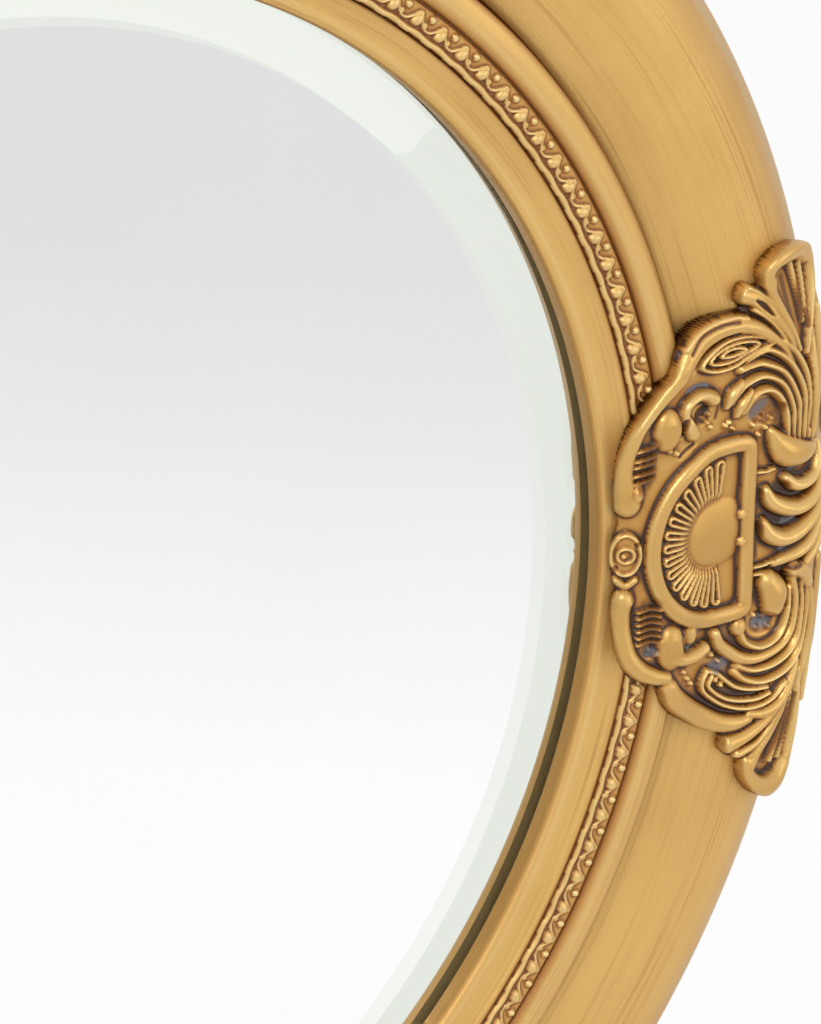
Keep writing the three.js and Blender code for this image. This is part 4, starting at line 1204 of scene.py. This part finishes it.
def plate(name, outline, thickness, onto):
    """Extrudes a closed flat outline and turns it into place."""
    deselect()
    bpy.ops.mesh.primitive_circle_add(vertices=len(outline), radius=1, fill_type="NGON")
    piece = named(name)
    flat = np.array(outline, float)
    move_points(piece, np.column_stack([flat, np.zeros(len(flat))]) * MM)
    bpy.ops.object.mode_set(mode="EDIT")
    bpy.ops.mesh.select_all(action="SELECT")
    bpy.ops.mesh.extrude_region_move(TRANSFORM_OT_translate={"value": (0, 0, thickness * MM)})
    bpy.ops.mesh.select_all(action="SELECT")
    bpy.ops.mesh.normals_make_consistent(inside=False)
    bpy.ops.object.mode_set(mode="OBJECT")
    piece.data.transform(onto)
    return piece


def drill(piece, x, z, radius):
    """Bores a hole from front to back."""
    deselect()
    bpy.ops.mesh.primitive_cylinder_add(vertices=32, radius=radius * MM, depth=0.1,
                                        location=(x * MM, 0, z * MM), rotation=(math.pi / 2, 0, 0))
    cut(piece, bpy.context.object)


def eased(piece, width):
    """Breaks a pressed plate's sharp edges."""
    apply_modifier(piece, "BEVEL", width=width * MM, segments=2, limit_method="ANGLE",
                   angle_limit=math.radians(35))
    shade(piece, 30)


def wire(name, route, radius):
    """A closed round wire along a route in the frame's own coordinates."""
    deselect()
    bpy.ops.curve.primitive_bezier_circle_add()
    bent = bpy.context.object
    bent.data.splines.clear()
    line = bent.data.splines.new("POLY")
    line.points.add(len(route) - 1)
    for point, spot in zip(line.points, route):
        point.co = (*[c * MM for c in spot], 1)
    line.use_cyclic_u = True
    bent.data.bevel_depth = radius * MM
    bent.data.bevel_resolution = 4
    choose(bent)
    bpy.ops.object.convert(target="MESH")
    piece = named(name)
    shade(piece, 50)
    return piece


def pan_head_screw():
    """A cross-recessed pan-head wood screw, its seat at the origin and its point forward."""
    length, shank, pitch = 8.5, 1.5, 0.9
    head = [(0, -1.6), (1.9, -1.6), (2.6, -1.45), (3.05, -1.05), (3.2, -0.6), (3.2, -0.05), (3.1, 0)]
    rows = [(shank, h) for h in np.arange(0, 6.7, 0.15)]
    piece = lathe("screw", [*head, *rows, (1.1, 7.1), (0.6, 7.9), (0, length)], 24, solid=True)
    points = places(piece) / MM
    depth = -points[:, 1]
    turn = np.arctan2(points[:, 2], points[:, 0]) / (2 * math.pi)
    crest = np.abs((depth / pitch - turn) % 1 - 0.5) * 2
    threaded = (depth > 0.5) & (depth < 7.5)
    points[:, (0, 2)] *= np.where(threaded, 1 - 0.24 * crest, 1)[:, None]
    move_points(piece, points * MM)
    for angle in (0, math.pi / 2):
        deselect()
        bpy.ops.mesh.primitive_cube_add(size=MM, scale=(3.6, 2.2, 0.8), location=(0, 1.6 * MM, 0),
                                        rotation=(0, angle, 0))
        cut(piece, bpy.context.object)
    shade(piece, 40)
    return piece


class MIRROR_OT_screws(bpy.types.Operator):
    """Turns the wood screws of the turn buttons and of the hanger straps"""

    bl_idname = "mirror.screws"
    bl_label = "Screws"

    def execute(self, context):
        seat = shift(BUTTON_PIVOT, 0.3 - BUTTON_BACK, 0)
        spots = {f"button_screw_{number}": turn @ seat for number, turn in BUTTON_TURNS.items()}
        for hand, side in HANDS.items():
            for number, drop in enumerate(STRAP_SCREW_DROPS, 1):
                spots[f"strap_screw_{hand}_{number}"] = shift(side * HANGER_X, 1.5, HANGER_Z - drop)
        zinc = zinc_plate()
        for node_name, piece in set_out(pan_head_screw(), "turned_", spots).items():
            dress(piece, [zinc], "frame", "zinc_steel", node_name)
        return {"FINISHED"}


class MIRROR_OT_buttons(bpy.types.Operator):
    """Presses the six turn buttons that hold the backing board"""

    bl_idname = "mirror.buttons"
    bl_label = "Turn buttons"

    def execute(self, context):
        round_end, tip, corner, thick = 4.5, -16.5, 2.475, 1.5
        outline = [*arc((0, 0), round_end, -90, 90, 16), (tip + corner, round_end),
                   (tip, round_end - corner), (tip, corner - round_end), (tip + corner, -round_end)]
        button = plate("button", outline, thick, UPRIGHT)
        drill(button, 0, 0, 1.95)
        eased(button, 0.25)
        seat = shift(BUTTON_PIVOT, -BUTTON_BACK, 0)
        spots = {number: turn @ seat for number, turn in BUTTON_TURNS.items()}
        zinc = zinc_plate()
        for number, piece in set_out(button, "pressed_button_", spots).items():
            dress(piece, [zinc], f"button_{number}", "zinc_steel", f"turn_button_{number}")
        return {"FINISHED"}


class MIRROR_OT_hangers(bpy.types.Operator):
    """Rolls the two strap hangers and bends their wire rings"""

    bl_idname = "mirror.hangers"
    bl_label = "Hangers"

    def execute(self, context):
        eye, width = (2.6, 0), 12
        section = [(0.3, -30), (0.3, -12), *arc(eye, 2.3, 180, -70, 20), *arc(eye, 1.4, -70, 180, 20),
                   (1.2, -12), (1.2, -30)]
        strap = plate("strap", section, width, SIDEWAYS)
        strap.data.transform(shift(-width / 2, 0, 0))
        for drop in STRAP_SCREW_DROPS:
            drill(strap, 0, -drop, 1.9)
        eased(strap, 0.2)
        bow, corner, bar = 8.5, 2.4, 6.1
        route = [*arc((bar, -corner), corner, 90, 0, 6), *arc((0, -5.5), bow, 0, -180, 28),
                 *arc((-bar, -corner), corner, 180, 90, 6)]
        ring = wire("ring", [(x, eye[0], z) for x, z in route], 1.1)
        spots = {hand: shift(side * HANGER_X, 0, HANGER_Z) for hand, side in HANDS.items()}
        zinc = zinc_plate()
        for hand, piece in set_out(strap, "rolled_strap_", spots).items():
            dress(piece, [zinc], "frame", "zinc_steel", f"hanger_strap_{hand}")
        for hand, piece in set_out(ring, "wire_ring_", spots).items():
            dress(piece, [zinc], f"ring_{hand}", "zinc_steel", f"hanger_ring_{hand}")
        return {"FINISHED"}


class MIRROR_OT_bumpers(bpy.types.Operator):
    """Moulds the two rubber bumpers that keep the mirror off the wall"""

    bl_idname = "mirror.bumpers"
    bl_label = "Bumpers"

    def execute(self, context):
        # a domed rim round a shallow dish
        section = [(0, -0.3), (5.7, -0.3), (6, -0.6), (6, -3.9), (5.75, -4.5), (5.2, -4.9), (2.4, -4.9),
                   (1.8, -4.5), (1.2, -4.2), (0, -4.1)]
        pad = lathe("bumper", section, 48, solid=True)
        shade(pad, 50)
        x, z = BUMPER_SPOT
        rubber = moulded_rubber()
        spots = {hand: shift(side * x, 0, z) for hand, side in HANDS.items()}
        for hand, piece in set_out(pad, "moulded_bumper_", spots).items():
            dress(piece, [rubber], "frame", "rubber_pad", f"bumper_{hand}")
        return {"FINISHED"}


# ------------------------------------------------------------------ stage


class MIRROR_OT_stage(bpy.types.Operator):
    """Sets the floor, the studio light and the camera"""

    bl_idname = "mirror.stage"
    bl_label = "Stage"

    def execute(self, context):
        deselect()
        bpy.ops.mesh.primitive_plane_add(size=24, location=(0, 0, -1.3))
        floor = named("studio_floor")
        floor.data.materials.append(self.floor_paint())
        lamps = (
            ("key", (-1.5, -2.0, 2.2), 1.5, 44),
            ("fill", (1.9, -2.4, 0.4), 2.2, 16),
            ("back", (0.4, 2.4, 1.6), 2.4, 34),
        )
        for name, spot, size, power in lamps:
            bpy.ops.object.light_add(type="AREA", location=spot)
            lamp = named(name)
            lamp.data.shape = "DISK"
            lamp.data.size = size
            lamp.data.energy = power
            lamp.rotation_euler = (-Vector(spot)).to_track_quat("-Z", "Y").to_euler()
            # the fill lamp stays out of the mirror
            lamp.visible_transmission = name != "fill"
        self.world(context.scene)
        self.camera(context.scene)
        context.scene.view_settings.view_transform = "Standard"
        return {"FINISHED"}

    def seen_outright(self, tree):
        """1 for a ray from the camera, from glossy metal or through glass, and 0 for light."""
        path = node(tree, "ShaderNodeLightPath").outputs
        seen = combine(tree, "MAXIMUM", path["Is Camera Ray"], path["Is Glossy Ray"])
        return combine(tree, "MAXIMUM", seen, path["Is Transmission Ray"])

    def floor_paint(self):
        """Matt white studio floor, seen white while it keeps a shadow. To the front right it is
        greyer, which the glass shows."""
        material, tree = start_material("matt white floor")
        slant = node(tree, "ShaderNodeVectorMath", {
            0: piece_coordinates(tree), 1: (0.6, -0.8, 0)}, operation="DOT_PRODUCT")
        grey = remap(tree, slant.outputs["Value"], (2.75, 3.6))
        colour = blend(tree, grey, linear("#FFFFFF"), linear("#E6E6E6"))
        matt = node(tree, "ShaderNodeBsdfPrincipled", {
            "Base Color": colour, "Roughness": 0.9, "Specular IOR Level": 0.1})
        white = node(tree, "ShaderNodeEmission", {"Color": colour, "Strength": 1})
        share = combine(tree, "MULTIPLY", self.seen_outright(tree), 0.88)
        end_material(tree, node(tree, "ShaderNodeMixShader", {
            0: share, 1: matt.outputs[0], 2: white.outputs[0]}))
        return material

    def world(self, scene):
        world = bpy.data.worlds.new("studio")
        scene.world = world
        world.use_nodes = True
        tree = world.node_tree
        tree.nodes.clear()
        light = node(tree, "ShaderNodeBackground", {"Color": linear("#FFFFFF"), "Strength": 0.62})
        shown = node(tree, "ShaderNodeBackground", {"Color": linear("#FFFFFF"), "Strength": 1.0})
        mix = node(tree, "ShaderNodeMixShader", {
            0: self.seen_outright(tree), 1: light.outputs[0], 2: shown.outputs[0]})
        node(tree, "ShaderNodeOutputWorld", {"Surface": mix.outputs[0]})

    def camera(self, scene):
        look = Vector((0.5011, 0.7701, -0.3948)).normalized()
        up = Vector((0.198, 0.342, 0.9186))
        right = look.cross(up).normalized()
        up = right.cross(look)
        bpy.ops.object.camera_add(location=(-0.8388, -1.4996, 0.7806))
        camera = named("camera")
        camera.rotation_euler = Matrix((right, up, -look)).transposed().to_euler()
        camera.data.sensor_width = 36
        camera.data.lens = 281.9
        camera.data.clip_start = 0.05
        scene.camera = camera


# ------------------------------------------------------------------ panel and registration

OPERATORS = (
    MIRROR_OT_stage,
    MIRROR_OT_moulding,
    MIRROR_OT_glass,
    MIRROR_OT_strips,
    MIRROR_OT_cartouches,
    MIRROR_OT_screws,
    MIRROR_OT_buttons,
    MIRROR_OT_hangers,
    MIRROR_OT_bumpers,
)


class MIRROR_PT_panel(bpy.types.Panel):
    bl_label = "Gilded mirror"
    bl_idname = "MIRROR_PT_panel"
    bl_space_type = "VIEW_3D"
    bl_region_type = "UI"
    bl_category = "Mirror"

    def draw(self, context):
        for name in MirrorSettings.__annotations__:
            self.layout.prop(context.scene.mirror_settings, name)
        for operator in OPERATORS:
            self.layout.operator(operator.bl_idname)


def register():
    for made in (MirrorSettings, *OPERATORS, MIRROR_PT_panel):
        bpy.utils.register_class(made)
    bpy.types.Scene.mirror_settings = bpy.props.PointerProperty(type=MirrorSettings)


def unregister():
    del bpy.types.Scene.mirror_settings
    for made in (MIRROR_PT_panel, *reversed(OPERATORS), MirrorSettings):
        bpy.utils.unregister_class(made)


def main():
    register()
    for operator in OPERATORS:
        family, name = operator.bl_idname.split(".")
        getattr(getattr(bpy.ops, family), name)()


if __name__ == "__main__":
    main()
